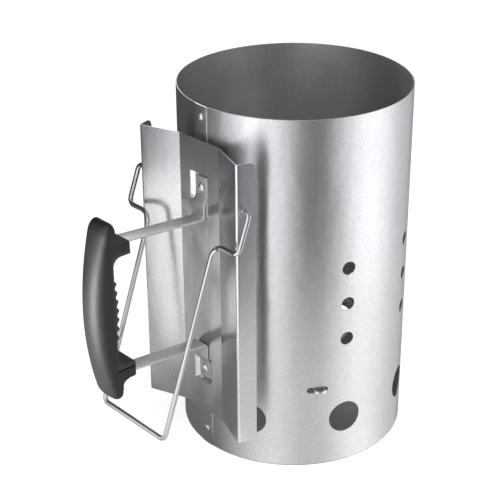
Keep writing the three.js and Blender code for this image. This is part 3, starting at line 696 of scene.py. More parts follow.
def pocketSink(y, z):
    # how deep the pressed pockets are at a place on the shield's middle
    v = shieldValues
    leftStep = v["pocketLeftStep"]
    stepShare = leftStep / v["pocketLeftWall"]
    corner = v["pocketCorner"]
    fromLeft = v["pocketHalfWidth"] + y - v["pocketMiddle"]
    fromRight = v["pocketHalfWidth"] - y + v["pocketMiddle"]
    side = min(fromLeft, fromRight)
    # the left wall slopes gently to a step, and from there steeply to the floor
    left = fromLeft / v["pocketLeftWall"]
    if fromLeft > leftStep:
        left = stepShare + (1 - stepShare) * (fromLeft - leftStep) / (v["pocketLeftFloor"] - leftStep)
    sink = 0
    for (low, high), blunt in ((v["upperPocket"], 1), (v["lowerPocket"], -1)):
        end = high - z if blunt > 0 else z - low
        ramp = z - low if blunt > 0 else high - z
        cut = corner - math.hypot(corner - side, corner - end) if side < corner and end < corner else corner
        cutShare = cut / v["pocketEndWall"] if cut < corner else 1
        walls = min(left, fromRight / v["pocketRightWall"], end / v["pocketEndWall"], cutShare)
        sink += v["pocketDepth"] * softSlope(walls) * softSlope(ramp / v["pocketRamp"])
    return sink


def shieldColumns():
    # places across the sheet as (point, outward normal, distance from the flange's rear edge)
    v = shieldValues
    crest = v["face"] + v["wingRise"]
    halfMiddle = v["middle"] / 2
    halfCrest = halfMiddle + v["wingWidth"]
    back = crest - v["flangeDepth"]
    corners = [
        (back, -halfCrest - v["flangeSpread"], 0), (crest, -halfCrest, 0), (v["face"], -halfMiddle, 0),
        (v["face"], halfMiddle, 0), (crest, halfCrest, 0), (back, halfCrest + v["flangeSpread"], 0),
    ]
    path = rounded(corners, [v["foldRadius"]] * 4, v["foldSteps"])
    halfPath = len(path) // 2

    def between(a, b, count):
        return [a.lerp(b, (i + 1) / (count + 1)) for i in range(count)]

    pocketEdge = v["pocketHalfWidth"] + v["pocketStep"]
    pocketCount = round(2 * pocketEdge / v["pocketStep"])
    middle = []
    for i in range(pocketCount + 1):
        y = v["pocketMiddle"] - pocketEdge + 2 * pocketEdge * i / pocketCount
        middle.append(Vector((v["face"], y, 0)))
    flange = v["flangeColumns"]
    points = [path[0]] + between(path[0], path[1], flange) + path[1:halfPath]
    points += middle + path[halfPath:-1] + between(path[-2], path[-1], flange) + [path[-1]]
    columns = []
    for i, point in enumerate(points):
        along = directionAt(points, i)
        outward = Vector((along.y, -along.x, 0))
        nearFlange = i <= flange + 1 or i >= len(points) - flange - 2
        columns.append((point, outward, point.x - back if nearFlange else v["flangeCorner"]))
    return columns


def shieldRows():
    v = shieldValues
    rows = [v["bottom"], v["bottom"] + v["flangeCorner"]]
    for low, high in (v["lowerPocket"], v["upperPocket"]):
        count = round((high - low) / v["pocketStep"])
        rows += [low + (high - low) * i / count for i in range(count + 1)]
    rows += [v["top"] - v["flangeCorner"], v["top"]]
    return rows


def shieldFace(columns, rows, inset):
    # the points of one face of the sheet, column by column, set back from the front by the inset
    v = shieldValues
    last = len(rows) - 1
    grid = []
    for point, outward, fromEdge in columns:
        trim = arcDrop(v["flangeCorner"], max(v["flangeCorner"] - fromEdge, 0))
        flat = abs(point.y) < v["middle"] / 2 - v["foldRadius"]
        line = []
        for j, z in enumerate(rows):
            level = z + trim if j == 0 else z - trim if j == last else z
            sink = pocketSink(point.y, z) if flat else 0
            line.append(point - outward * inset + Vector((-sink, 0, level)))
        grid.append(line)
    return grid


def shieldSheet():
    columns = shieldColumns()
    rows = shieldRows()
    front = shieldFace(columns, rows, 0)
    back = shieldFace(columns, rows, shieldValues["sheet"])
    points = []
    for j in range(len(rows)):
        points += [line[j] for line in front] + [line[j] for line in reversed(back)]
    count = 2 * len(columns)
    faces = sideFaces(len(rows), count)
    top = (len(rows) - 1) * count
    for i in range(len(columns) - 1):
        mate = count - 1 - i
        faces.append((i, mate, mate - 1, i + 1))
        faces.append((top + i, top + i + 1, top + mate - 1, top + mate))
    sheet = meshObject("heatShield", points, faces)
    facesOutward(sheet)
    return sheet


def bailPunches():
    # a punch through each flange, along the line that the bail turns on
    v = shieldValues
    pivotX, pivotZ = v["bailPivot"]
    near, far = v["bailPunchEnds"]
    radius = v["bailHole"] / 2
    cutters = []
    for side in (1, -1):
        punch = lathe("bailPunch", [(0, near), (radius, near), (radius, far), (0, far)], v["bailHoleSides"])
        turn = Matrix.Rotation(-side * math.pi / 2, 4, "X")
        punch.data.transform(Matrix.Translation((pivotX, 0, pivotZ)) @ turn)
        cutters.append(punch)
    return cutters


def makeShield():
    shield = shieldSheet()
    cutWith(shield, rivetPunches("shieldRivetPunches", "strap"), *bailPunches())
    finishPiece(shield, "starter", galvanisedShield, ["heat_shield"])


makeShield()


# Straps: flat steel, joggled into the pockets and bent out to the handle
strapValues = {
    "width": 13.4, "sheet": 2, "edge": 0.45, "edgeSteps": 3, "footCorner": 1.8, "footSteps": 5,
    "joggleBend": 4, "bend": 3.5, "bendSteps": 8, "ramp": 6, "plateau": 15.5, "grip": 14,
    "punchReach": 5, "stubEnd": drumRadius + 83, "sharpAngle": 50,
    "upper": {"footEnd": 248.8, "footBend": 215, "rise": 6.5, "down": 1},
    "lower": {"footEnd": 68.6, "footBend": 103, "rise": 7.4, "down": -1},
}
strapSeat = seatGap + strapValues["sheet"] / 2
middleFace = shieldValues["face"] + strapSeat
footFace = middleFace - shieldValues["pocketDepth"]


def strapPath(side):
    # the strap's middle line, from the end of its foot to the end inside the handle
    v = strapValues
    down = side["down"]
    plateauEnd = side["footEnd"] - down * v["plateau"]
    bend = Vector((middleFace, 0, side["footBend"]))
    stub = Vector((v["stubEnd"], 0, side["footBend"] + side["rise"]))
    corners = [
        (footFace, 0, side["footEnd"]), (footFace, 0, plateauEnd),
        (middleFace, 0, plateauEnd - down * v["ramp"]), bend, stub + (stub - bend).normalized() * v["grip"],
    ]
    path = rounded(corners, [v["joggleBend"], v["joggleBend"], v["bend"]], v["bendSteps"])
    toEnd = (path[1] - path[0]).normalized()
    foot = []
    for k in range(v["footSteps"] + 1):
        foot.append(path[0] + toEnd * v["footCorner"] * (1 - quarter(k, v["footSteps"])[1]))
    return foot + path[1:]


def strapSection(halfWidth):
    # places round the strip's section as (sideways, outward)
    v = strapValues
    halfSheet = v["sheet"] / 2
    edge = v["edge"]
    section = []
    for signY, signOut, start in ((1, 1, 0), (-1, 1, 90), (-1, -1, 180), (1, -1, 270)):
        for k in range(v["edgeSteps"] + 1):
            angle = math.radians(start + 90 * k / v["edgeSteps"])
            y = signY * (halfWidth - edge) + edge * math.cos(angle)
            out = signOut * (halfSheet - edge) + edge * math.sin(angle)
            section.append((y, out))
    return section


def makeStrap(name, side, level, node):
    # the strap's section swept along its path, narrowed at the rounded end of the foot
    v = strapValues
    path = strapPath(side)
    rings = []
    travelled = 0
    for i, point in enumerate(path):
        along = directionAt(path, i)
        normal = Vector((along.z, 0, -along.x))
        if i > 0:
            travelled += (point - path[i - 1]).length
        halfWidth = v["width"] / 2 - arcDrop(v["footCorner"], max(v["footCorner"] - travelled, 0))
        rings.append([point + Vector((0, y, 0)) + normal * out for y, out in strapSection(halfWidth)])
    strap = skin(name, rings)
    hole = rivetValues["strap"]["shank"] / 2 + seatGap
    reach = v["punchReach"]
    punch = lathe(name + "Punch", [(0, -reach), (hole, -reach), (hole, reach), (0, reach)],
                  drumValues["smallHoleSides"])
    turn = Matrix.Rotation(math.pi / 2, 4, "Y")
    punch.data.transform(Matrix.Translation((footFace, 0, level)) @ turn)
    cutWith(strap, punch)
    finishPiece(strap, "starter", strapSteel, [node], v["sharpAngle"])


upperRivet, lowerRivet = rivetValues["strap"]["levels"]
makeStrap("upperStrap", strapValues["upper"], upperRivet, "upper_strap")
makeStrap("lowerStrap", strapValues["lower"], lowerRivet, "lower_strap")


# Rivets: a dome outside, a shank through all sheets, and a flat tail inside the drum
def rivetShape(name, rivet, seat):
    v = rivetValues
    shank = rivet["shank"] / 2
    head = rivet["head"] / 2
    inside = drumRadius - drumValues["sheet"] - seatGap
    end = inside - v["tail"]
    tail = shank + v["tailOverhang"]
    soft = v["tail"] * v["tailEdge"]
    rim = rivet["dome"] * v["rimShare"]
    profile = [
        (0, end), (tail - soft, end), (tail, end + soft), (tail, inside), (shank, inside), (shank, seat),
        (head, seat),
    ]
    for k in range(v["domeSteps"] + 1):
        rise, spread = quarter(k, v["domeSteps"])
        if head * spread > v["domeTip"]:
            profile.append((head * spread, seat + rim + (rivet["dome"] - rim) * rise))
    profile.append((0, seat + rivet["dome"]))
    shape = lathe(name, profile, v["sides"])
    shape.data.transform(Matrix.Rotation(math.pi / 2, 4, "Y"))
    return shape


def makeRivets(name, kind, seat, degrees, nodes):
    # a rivet at each level of its kind, with its head seated at the given radius
    rivet = rivetValues[kind]
    shape = rivetShape(kind + "Rivet", rivet, seat)
    places = [(0, 0, level) for level in rivet["levels"]]
    rivets = pointCloud(name, places, [(0, 0, math.radians(degrees))] * len(places))
    grow(rivets, fastenerTree, {"Fastener": shape, "Material": rivetMetal})
    drop(shape)
    finishPiece(rivets, "starter", rivetMetal, nodes)


seamSeat = drumRadius + drumValues["sheet"] + seatGap
makeRivets("strapRivets", "strap", footFace + strapSeat, 0, ["upper_strap_rivet", "lower_strap_rivet"])
makeRivets("seamRivets", "seam", seamSeat, seamAngle(), ["seam_rivet_top", "seam_rivet_bottom"])


# Grate: rings on three hairpins, whose loops stick out of the slots, and three spokes
grateValues = {
    "wire": 3, "sides": 16, "bendSteps": 10, "outerRing": 88, "innerRing": 24, "rings": 5, "rise": 33,
    "ringSteps": 144, "shoulder": 84, "level": 71.1,
    "hairpinSpacing": 8.6, "hairpinReach": 5, "hairpinBend": 5, "loopShare": 0.98,
    "hairpinAngles": (60, 180, -60), "spokeAngles": (0, 120, -120),
}


def gratePaths(slope):
    # three hairpins and three spokes, level outside the shoulder and climbing the cone inside it
    v = grateValues
    end = v["innerRing"] - v["wire"]
    endLevel = v["level"] + (v["shoulder"] - end) * slope
    bend = v["hairpinBend"]
    side = v["hairpinSpacing"] / 2
    loop = side * v["loopShare"]

    def spoke(degrees, reach, sideways=0):
        stops = ((end, endLevel), (v["shoulder"], v["level"]), (reach, v["level"]))
        return [around(radius, degrees, level, sideways) for radius, level in stops]

    paths = []
    for degrees in v["hairpinAngles"]:
        tip = drumRadius + v["hairpinReach"] - v["wire"] / 2
        there = spoke(degrees, tip, side)
        back = spoke(degrees, tip, -side)[::-1]
        paths.append((there + back, [bend, loop, loop, bend]))
    for degrees in v["spokeAngles"]:
        paths.append((spoke(degrees, v["outerRing"] + v["wire"]), [bend]))
    return paths


def makeGrate():
    v = grateValues
    slope = v["rise"] / (v["shoulder"] - v["innerRing"])
    lift = v["wire"] + seatGap
    grate = wirePaths("grate", gratePaths(slope))
    wire = {"Wire Diameter": float(v["wire"]), "Wire Sides": v["sides"], "Material": grateWire}
    grow(grate, wireTree, dict(wire, **{"Bend Steps": v["bendSteps"]}))
    grow(grate, ringTree, dict(wire, **{
        "Ring Count": v["rings"], "Ring Steps": v["ringSteps"], "Outer Radius": float(v["outerRing"]),
        "Ring Pitch": (v["outerRing"] - v["innerRing"]) / (v["rings"] - 1), "Level": v["level"] + lift,
        "Cone Foot": float(v["shoulder"]), "Cone Slope": slope,
        "Cone Lift": lift * math.hypot(1, slope) - lift,
    }))
    nodes = ["grate_hairpin_%d" % (i + 1) for i in range(len(v["hairpinAngles"]))]
    nodes += ["grate_spoke_%d" % (i + 1) for i in range(len(v["spokeAngles"]))]
    nodes += ["grate_ring_%d" % (i + 1) for i in range(v["rings"])]
    finishPiece(grate, "starter", grateWire, nodes)


makeGrate()


# Handle: an outer bow with two stubs, and a ribbed grip that lines its inner side
handleValues = {
    "bottom": 91.5, "top": 241.5, "halfWidth": 12, "inner": drumRadius + 96, "reach": drumRadius + 118,
    "sag": 12.9, "endRound": 9, "endSteps": 8, "endNarrowing": 4.5, "roundness": 0.87, "bowFacets": 32,
    "bodyRings": 60, "stubEnd": strapValues["stubEnd"], "upperStub": (212.8, 224.3),
    "lowerStub": (108, 120.5), "stubRound": 1.6, "stubOverlap": 3, "rootFillet": 5, "filletSteps": 10,
    "gripSeat": drumRadius + 101, "gripFace": drumRadius + 98.4, "gripLip": 3, "gripHalfWidth": 11,
    "slotLead": 6, "spaceLead": 4, "overrun": 3, "voxel": 0.5, "smoothing": 8, "smoothShare": 0.5,
}


def bowRing(height):
    # the bow's section at a height, flat on the inner side and rounded on the outer
    v = handleValues
    fromEnd = min(v["top"] - height, height - v["bottom"])
    narrowing = v["endNarrowing"] * arcDrop(1, max(1 - fromEnd / v["endRound"], 0))
    chord = (v["top"] - v["bottom"]) / 2
    radius = (chord ** 2 + v["sag"] ** 2) / (2 * v["sag"])
    fromMiddle = height - (v["top"] + v["bottom"]) / 2
    crown = v["reach"] - radius + math.sqrt(radius ** 2 - fromMiddle ** 2)
    inner = v["inner"] + narrowing / 2
    outer = crown - narrowing
    halfWidth = v["halfWidth"] - narrowing
    shoulder = (inner + outer) / 2
    ring = [(inner, -halfWidth, height)]
    for i in range(v["bowFacets"] + 1):
        angle = math.pi * (i / v["bowFacets"] - 0.5)
        along = abs(math.cos(angle)) ** v["roundness"]
        across = math.copysign(abs(math.sin(angle)) ** v["roundness"], math.sin(angle))
        ring.append((shoulder + (outer - shoulder) * along, halfWidth * across, height))
    ring.append((inner, halfWidth, height))
    return ring


def filletWedge(name, cornerZ, up):
    # what fills the inner corner between a stub and the bow
    v = handleValues
    cornerX = v["inner"]
    radius = v["rootFillet"]
    outline = [(cornerX + radius, cornerZ - up * radius), (cornerX + radius, cornerZ + up * radius)]
    for k in range(v["filletSteps"] + 1):
        sine, cosine = quarter(k, v["filletSteps"])
        outline.append((cornerX - radius * (1 - cosine), cornerZ + up * radius * (1 - sine)))
    outline.append((cornerX - radius, cornerZ - up * radius))
    return prism(name, outline, -v["halfWidth"], v["halfWidth"])


def joinObjects(first, *others):
    work = bmesh.new()
    work.from_mesh(first.data)
    for other in others:
        work.from_mesh(other.data)
    work.to_mesh(first.data)
    work.free()
    drop(*others)


def strapSlotCutter(side):
    v = handleValues
    s = strapValues
    start = Vector((middleFace, 0, side["footBend"]))
    end = Vector((v["stubEnd"], 0, side["footBend"] + side["rise"]))
    along = (end - start).normalized()
    thick = Vector((-along.z, 0, along.x)) * (s["sheet"] / 2 + seatGap)
    near = end - along * v["slotLead"]
    far = end + along * (s["grip"] + seatGap)
    outline = [(p.x, p.z) for p in (near + thick, far + thick, far - thick, near - thick)]
    halfWidth = s["width"] / 2 + seatGap
    return prism("strapSlot", outline, -halfWidth, halfWidth)


def bowHeights():
    # levels of the bow's rings, closer together in its rounded ends
    v = handleValues
    low = v["bottom"] + v["endRound"]
    high = v["top"] - v["endRound"]
    ends = [v["endRound"] * (1 - quarter(k, v["endSteps"])[1]) for k in range(v["endSteps"])]
    middle = [low + (high - low) * k / v["bodyRings"] for k in range(v["bodyRings"] + 1)]
    return [v["bottom"] + end for end in ends] + middle + [v["top"] - end for end in reversed(ends)]


def makeHandleBody():
    v = handleValues
    body = skin("handleBody", [bowRing(z) for z in bowHeights()])
    parts = []
    root = v["gripSeat"] + v["stubOverlap"]
    for i, (bottom, top) in enumerate((v["lowerStub"], v["upperStub"])):
        outline = [(v["stubEnd"], bottom), (root, bottom), (root, top), (v["stubEnd"], top)]
        parts.append(prism("stub%d" % i, outline, -v["halfWidth"], v["halfWidth"], v["stubRound"]))
    parts.append(filletWedge("upperFillet", v["upperStub"][1], 1))
    parts.append(filletWedge("lowerFillet", v["lowerStub"][0], -1))
    joinObjects(body, *parts)
    remesh = body.modifiers.new("remesh", "REMESH")
    remesh.mode = "VOXEL"
    remesh.voxel_size = v["voxel"]
    soften = body.modifiers.new("soften", "SMOOTH")
    soften.factor = v["smoothShare"]
    soften.iterations = v["smoothing"]
    makePlain(body)
    high = v["upperStub"][0] + v["gripLip"] + seatGap
    low = v["lowerStub"][1] - v["gripLip"] - seatGap
    near = v["stubEnd"] - v["spaceLead"]
    space = [(near, low), (v["gripSeat"], low), (v["gripSeat"], high), (near, high)]
    reach = v["halfWidth"] + v["overrun"]
    cutWith(
        body,
        prism("gripSpace", space, -reach, reach),
        strapSlotCutter(strapValues["upper"]),
        strapSlotCutter(strapValues["lower"]),
    )
    finishPiece(body, "starter", handlePlastic, ["handle_body"])


makeHandleBody()

gripValues = {
    "ribs": 7, "ribPitch": 7.6, "ribHeight": 2.0, "ribMiddle": 169, "ribSteps": 14, "bulge": 1.3,
    "cornerRadius": 7, "cornerSteps": 12, "cornerSlack": 1, "uprightShare": 0.95,
    "edge": 1.3, "acrossSteps": 28, "ribFade": 1.2, "sharpAngle": 45,
}


def gripPlaces():
    # the liner's outer line as (point, swell of the rib there, bulge of the whole), and its split
    v = handleValues
    g = gripValues
    high = v["upperStub"][0]
    low = v["lowerStub"][1]
    corners = [(v["stubEnd"], 0, high), (v["gripFace"], 0, high), (v["gripFace"], 0, low),
               (v["stubEnd"], 0, low)]
    path = rounded(corners, [g["cornerRadius"]] * 2, g["cornerSteps"])
    split = len(path) // 2
    places = [(p, 0, 0) for p in path[:split]]
    ribTop = g["ribMiddle"] + g["ribs"] * g["ribPitch"] / 2
    for k in range(g["ribs"] * g["ribSteps"] + 1):
        swell = math.sin(math.pi * k / g["ribSteps"]) ** 2
        bulge = math.sin(math.pi * k / (g["ribs"] * g["ribSteps"])) ** 2
        point = Vector((v["gripFace"], 0, ribTop - k / g["ribSteps"] * g["ribPitch"]))
        places.append((point, swell, bulge))
    return places + [(p, 0, 0) for p in path[split:]], split


def gripRing(point, outward, swell, bulge, under):
    # the liner's section: a rounded outer side, and a flat back at the place under it
    g = gripValues
    halfWidth = handleValues["gripHalfWidth"]
    ring = []
    for k in range(g["acrossSteps"] + 1):
        y = -halfWidth * math.cos(math.pi * k / g["acrossSteps"])
        fall = arcDrop(g["edge"], max(abs(y) - (halfWidth - g["edge"]), 0))
        fade = smoothStep((halfWidth - abs(y)) / g["ribFade"])
        rib = g["ribHeight"] * swell * fade + g["bulge"] * bulge
        ring.append(point + Vector((0, y, 0)) + outward * (rib - fall))
    return ring + [under + Vector((0, halfWidth, 0)), under - Vector((0, halfWidth, 0))]


def makeGrip():
    v = handleValues
    g = gripValues
    back = v["gripSeat"] - seatGap
    high = v["upperStub"][0]
    top = high + v["gripLip"]
    bottom = v["lowerStub"][1] - v["gripLip"]
    places, split = gripPlaces()
    line = [point for point, swell, bulge in places]
    inCorner = split - g["cornerSteps"] // 2
    rings = []
    for i, (point, swell, bulge) in enumerate(places):
        along = directionAt(line, i)
        if i < inCorner and point.z > high - g["cornerSlack"]:
            under = Vector((point.x, 0, top))
        elif i > len(places) - inCorner:
            under = Vector((point.x, 0, bottom))
        elif abs(along.z) > g["uprightShare"]:
            under = Vector((back, 0, point.z))
        else:
            under = Vector((back, 0, top if point.z > (top + bottom) / 2 else bottom))
        rings.append(gripRing(point, Vector((along.z, 0, -along.x)), swell, bulge, under))
    grip = skin("gripLiner", rings)
    finishPiece(grip, "starter", gripPlastic, ["handle_grip"], g["sharpAngle"])


makeGrip()


# Handle screws, driven upwards into the stubs
screwValues = {
    "shank": 3.5, "head": 7, "headHeight": 2.2, "rimShare": 1 / 3, "rimSteps": 6, "length": 8.1,
    "place": drumRadius + 91, "turns": (0.4, 0.9), "sides": 36,
    "crossWidth": 1.1, "crossLength": 4.4, "crossDepth": 1.3, "crossOverrun": 1,
}


def screwShape():
    v = screwValues
    base = -v["headHeight"]
    radius = v["shank"] / 2
    rim = v["headHeight"] * v["rimShare"]
    profile = [(0, base)]
    for k in range(v["rimSteps"] + 1):
        sine, cosine = quarter(k, v["rimSteps"])
        profile.append((v["head"] / 2 - rim + rim * sine, base + rim - rim * cosine))
    profile += [
        (v["head"] / 2, 0), (radius, 0), (radius, v["length"] - radius), (radius / 2, v["length"]),
        (0, v["length"]),
    ]
    screw = lathe("screw", profile, v["sides"])
    a = v["crossLength"] / 2
    low = base - v["crossOverrun"]
    high = base + v["crossDepth"]
    outline = [(-a, low), (a, low), (a, base), (a / 2, high), (-a / 2, high), (-a, base)]
    cutters = []
    for turn in (0, math.pi / 2):
        bar = prism("crossBar", outline, -v["crossWidth"] / 2, v["crossWidth"] / 2)
        bar.data.transform(Matrix.Rotation(turn, 4, "Z"))
        cutters.append(bar)
    cutWith(screw, *cutters)
    return screw


def makeScrews():
    v = screwValues
    seats = [handleValues[stub][0] - seatGap for stub in ("upperStub", "lowerStub")]
    places = [(v["place"], 0, z) for z in seats]
    screws = pointCloud("handleScrews", places, [(0, 0, turn) for turn in v["turns"]])
    shape = screwShape()
    grow(screws, fastenerTree, {"Fastener": shape, "Material": screwSteel})
    drop(shape)
    finishPiece(screws, "starter", screwSteel, ["upper_handle_screw", "lower_handle_screw"])


makeScrews()


# Bail: one bent wire whose ends turn in the flanges of the shield
bailValues = {
    "wire": 4, "sides": 24, "bendSteps": 14, "pivot": shieldValues["bailPivot"], "earEnd": 55.53,
    "outer": 66, "jog": (drumRadius + 25.3, 211.4), "leg": 39, "foot": (drumRadius + 79.8, 59.8),
    "radii": (4, 6, 10, 5),
}


def makeBail():
    v = bailValues
    stops = (
        ("pivot", "earEnd"), ("pivot", "outer"), ("jog", "outer"), ("jog", "leg"), ("foot", "leg"),
    )
    side = [(v[place][0], v[across], v[place][1]) for place, across in stops]
    other = [(x, -y, z) for x, y, z in reversed(side)]
    bail = wirePaths("bailWire", [(side + other, v["radii"] + v["radii"][::-1])])
    grow(bail, wireTree, {
        "Wire Diameter": float(v["wire"]), "Wire Sides": v["sides"], "Bend Steps": v["bendSteps"],
        "Material": brightWire,
    })
    finishPiece(bail, "bail_wire", brightWire, ["bail"])


makeBail()


# Camera at the photograph's viewing angle
cameraValues = {
    "place": (0.64823, 0.72977, 0.6508), "heading": -131.94, "tilt": -26.15, "roll": -0.29,
    "focalPixels": 1334.2, "framePixels": 500, "sensor": 36, "clip": (0.01, 60),
}
viewHeading = cameraValues["heading"] + 180


def makeCamera():
    v = cameraValues
    data = bpy.data.cameras.new("photoCamera")
    data.sensor_width = v["sensor"]
    data.lens = v["focalPixels"] / v["framePixels"] * v["sensor"]
    data.clip_start, data.clip_end = v["clip"]
    camera = newObject("photoCamera", data)
    heading = math.radians(v["heading"])
    tilt = math.radians(v["tilt"])
    ahead = Vector((math.cos(tilt) * math.cos(heading), math.cos(tilt) * math.sin(heading), math.sin(tilt)))
    right = ahead.cross(Vector((0, 0, 1))).normalized()
    up = right.cross(ahead)
    roll = math.radians(v["roll"])
    side = right * math.cos(roll) + up * math.sin(roll)
    top = up * math.cos(roll) - right * math.sin(roll)
    turn = Matrix((side, top, -ahead)).transposed().to_4x4()
    camera.matrix_world = Matrix.Translation(v["place"]) @ turn
    scene.camera = camera


makeCamera()


# Studio: a white table, soft lamps, and a bowl of light that only reflections see
studioValues = {
    "floorSize": 24, "floorDrop": 0.0003, "floorColour": 0.55, "floorGlow": 0.76,
    # radius and height of the bowl's rings
    "bowlRows": (
        (0.0951, 0.00005), (0.105, 0.002), (0.12, 0.004), (0.15, 0.009), (0.19, 0.018), (0.225, 0.035),
        (0.25, 0.07), (0.262, 0.12), (0.265, 0.3), (0.265, 1.3),
    ),
    "bowlSides": 240, "mirrorRounds": 60,
    # three belts of soft light round the drum, as (direction of the reflection in degrees, level)
    "belts": (
        # near the table
        ((-131, 0.17), (-48, 0.18), (26, 1.08), (57, 0.77), (68, 0.77), (118, 1.34), (180, 0.73),
         (216, 0.14)),
        # higher up
        ((-131, 0.08), (-64, 0.10), (-38, 0.16), (5, 1.95), (20, 1.42), (60, 0.17), (68, 0.15),
         (126, 1.68), (174, 0.73), (182, 0.70), (214, 0.17)),
        # overhead
        ((-131, 2.30), (-110, 0.10), (-98, 0.05), (-46, 0.08), (-4, 0.80), (50, 0.28), (70, 0.25),
         (118, 0.60), (180, 0.60), (227, 0.30)),
    ),
    "beltTints": ((0.985, 1.0, 0.98), (1.0, 0.982, 1.035), (1.0, 1.0, 1.0)),
    # heights on the drum between which one belt gives way to the next
    "beltFades": ((0.08, 0.215), (0.34, 0.55)),
    # soft bright cards: direction, half width, softness; height, half height, softness; level
    "softCards": (
        (-54.6, 2.8, 0.6, 0.16, 0.09, 0.6, 0.85), (-43.9, 2.4, 0.6, 0.155, 0.085, 0.6, 1.05),
        (-25, 11, 0.35, 0.18, 0.09, 0.2, 1.16), (-83, 18, 0.35, 0.12, 0.03, 0.12, 0.85),
    ),
    "worldLevel": 0.5, "worldMirrored": 0.2,
    "lamps": {
        "strapLamp": {"place": (-0.12, -0.2, 0.75), "aim": (0.09, 0, 0.16), "size": (0.5, 0.5),
                      "power": 1.4, "only": ("upperStrap", "lowerStrap")},
        "handleLamp": {"place": (0.40, 0.02, 0.09), "aim": (0.13, 0, 0.16), "size": (0.19, 0.07),
                       "power": 2.9, "only": ("handleBody", "gripLiner")},
        "wingLamp": {"place": (0.17, -0.058, 0.215), "aim": (0.05, -0.04, 0.25), "size": (0.06, 0.11),
                     "power": 0.0048, "only": ("heatShield",)},
        "fillLamp": {"place": (-0.3, 1.35, 1.1), "aim": (0, 0, 0.15), "size": (0.9, 0.9),
                     "power": 8, "only": ()},
        "topLamp": {"place": (1.0, 0.6, 1.5), "aim": (0, 0, 0.15), "size": (0.8, 0.8),
                    "power": 6, "only": ()},
    },
}


def stageMaterial(name):
    material = bpy.data.materials.new(name)
    material.use_nodes = True
    material.node_tree.nodes.clear()
    return material, material.node_tree


def makeFloor():
    v = studioValues
    s = v["floorSize"] / 2
    z = -v["floorDrop"]
    floor = meshObject("floor", [(-s, -s, z), (s, -s, z), (s, s, z), (-s, s, z)], [(0, 1, 2, 3)])
    material, tree = stageMaterial("tableTop")
    paths = addNode(tree, "ShaderNodeLightPath").outputs
    seen = mathOf(tree, "MAXIMUM", paths["Is Camera Ray"], paths["Is Glossy Ray"])
    seen = mathOf(tree, "MAXIMUM", seen, paths["Is Transmission Ray"])
    # the floor glows for camera and mirrored rays everywhere except within the drum's footprint, where the
    # missing glow is painted shade on the floor inside the drum
    place = addNode(tree, "ShaderNodeTexCoord").outputs["Object"]
    centred = addNode(tree, "ShaderNodeVectorMath", {0: place, 1: (drumAxisX, 0, 0)}, operation="DISTANCE")
    outside = mathOf(tree, "GREATER_THAN", centred.outputs["Value"], drumRadius * mm)
    glow = mathOf(tree, "MULTIPLY", mathOf(tree, "MULTIPLY", seen, outside), v["floorGlow"])
    matte = addNode(tree, "ShaderNodeBsdfDiffuse", {"Color": grey(v["floorColour"])})
    light = addNode(tree, "ShaderNodeEmission", {"Color": grey(1.0), "Strength": glow})
    both = addNode(tree, "ShaderNodeAddShader", {0: matte.outputs[0], 1: light.outputs[0]})
    addNode(tree, "ShaderNodeOutputMaterial", {"Surface": both.outputs[0]})
    floor.data.materials.append(material)


def reflectionAt(radius, angle, height):
    # for a place outside the drum: the direction of the mirrored view ray that meets it, and the drum's
    # height that mirrors it
    reach = drumRadius * mm
    heading = angle
    for step in range(studioValues["mirrorRounds"]):
        turn = math.radians((heading - viewHeading) / 2)
        heading = angle + math.degrees(math.asin(reach * math.sin(turn) / radius))
    turn = math.radians((heading - viewHeading) / 2)
    distance = math.sqrt(radius ** 2 - (reach * math.sin(turn)) ** 2) - reach * math.cos(turn)
    return heading, height + distance * math.tan(math.radians(-cameraValues["tilt"]))


def bandPlace(direction):
    # a direction as a share of the turn that starts and ends behind the drum
    return min(max((direction - viewHeading + 180) / 360, 0), 1)


def bowlMesh():
    v = studioValues
    points = []
    bands = []
    rises = []
    for radius, z in v["bowlRows"]:
        for i in range(v["bowlSides"]):
            angle = viewHeading - 180 + 360 * i / v["bowlSides"]
            turn = math.radians(angle)
            points.append((drumAxisX + radius * math.cos(turn), radius * math.sin(turn), z))
            direction, rise = reflectionAt(radius, angle, z)
            bands.append(bandPlace(direction))
            rises.append(rise)
    bowl = meshObject("reflectionCards", points, sideFaces(len(v["bowlRows"]), v["bowlSides"]))
    storeOnPoints(bowl.data, "band", "FLOAT", "value", bands)
    storeOnPoints(bowl.data, "rise", "FLOAT", "value", rises)
    return bowl


def beltLight(tree, band, belt, top, tint):
    # one belt's light over the direction of the reflection, as a share of the brightest level
    ramp = addNode(tree, "ShaderNodeValToRGB", {"Fac": band})
    ramp.color_ramp.interpolation = "EASE"
    stops = ramp.color_ramp.elements
    stops.remove(stops[-1])
    for i, (direction, level) in enumerate(belt):
        place = bandPlace(direction)
        stop = stops[0] if i == 0 else stops.new(place)
        stop.position = place
        stop.color = grey(level / top, tint)
    return ramp.outputs["Color"]


def within(tree, value, middle, halfSize, softness):
    # 1 near the middle of a card, and 0 beyond its soft edge
    away = mathOf(tree, "ABSOLUTE", mathOf(tree, "SUBTRACT", value, middle))
    near = halfSize * (1 - softness)
    far = halfSize * (1 + softness)
    return spanOf(tree, away, 1.0, 0.0, near, far, "SMOOTHSTEP")


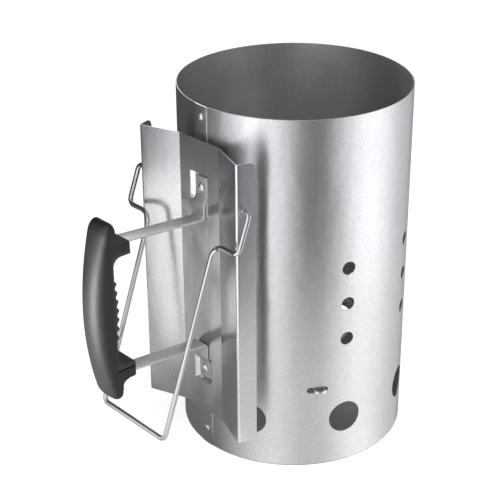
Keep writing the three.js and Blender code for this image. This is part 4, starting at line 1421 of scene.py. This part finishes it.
def makeCards():
    v = studioValues
    cards = bowlMesh()
    material, tree = stageMaterial("cardBowl")
    band = addNode(tree, "ShaderNodeAttribute", attribute_name="band").outputs["Fac"]
    rise = addNode(tree, "ShaderNodeAttribute", attribute_name="rise").outputs["Fac"]
    top = max(level for belt in v["belts"] for direction, level in belt)
    lights = [beltLight(tree, band, belt, top, tint) for belt, tint in zip(v["belts"], v["beltTints"])]
    colour = lights[0]
    for light, (low, high) in zip(lights[1:], v["beltFades"]):
        colour = mixColour(tree, spanOf(tree, rise, 0.0, 1.0, low, high, "SMOOTHSTEP"), colour, light)
    for direction, halfWidth, sideEdge, height, halfHeight, endEdge, level in v["softCards"]:
        across = within(tree, band, bandPlace(direction), halfWidth / 360, sideEdge)
        upright = within(tree, rise, height, halfHeight, endEdge)
        inside = mathOf(tree, "MULTIPLY", across, upright)
        colour = mixColour(tree, inside, colour, grey(level / top))
    light = addNode(tree, "ShaderNodeEmission", {"Color": colour, "Strength": top})
    addNode(tree, "ShaderNodeOutputMaterial", {"Surface": light.outputs[0]})
    cards.data.materials.append(material)
    cards.visible_camera = False
    cards.visible_diffuse = False
    cards.visible_transmission = False
    cards.visible_shadow = False


def makeWorld():
    v = studioValues
    world = bpy.data.worlds.new("studioWorld")
    world.use_nodes = True
    scene.world = world
    tree = world.node_tree
    mirrored = addNode(tree, "ShaderNodeLightPath").outputs["Is Glossy Ray"]
    connect(tree, tree.nodes["Background"], {
        "Color": grey(1.0),
        "Strength": spanOf(tree, mirrored, v["worldLevel"], v["worldMirrored"], 0.0, 1.0),
    })


def makeLamps():
    for name, lamp in studioValues["lamps"].items():
        data = bpy.data.lights.new(name, "AREA")
        data.shape = "RECTANGLE"
        data.size, data.size_y = lamp["size"]
        data.energy = lamp["power"]
        obj = newObject(name, data)
        aim = Vector(lamp["aim"]) - Vector(lamp["place"])
        obj.location = lamp["place"]
        obj.visible_camera = False
        obj.rotation_euler = aim.to_track_quat("-Z", "Y").to_euler()
        if lamp["only"]:
            lit = bpy.data.collections.new(name + "Only")
            for piece in lamp["only"]:
                lit.objects.link(bpy.data.objects[piece])
            obj.light_linking.receiver_collection = lit


makeFloor()
makeCards()
makeWorld()
makeLamps()
scene.view_settings.view_transform = "Standard"
print("studio ready")
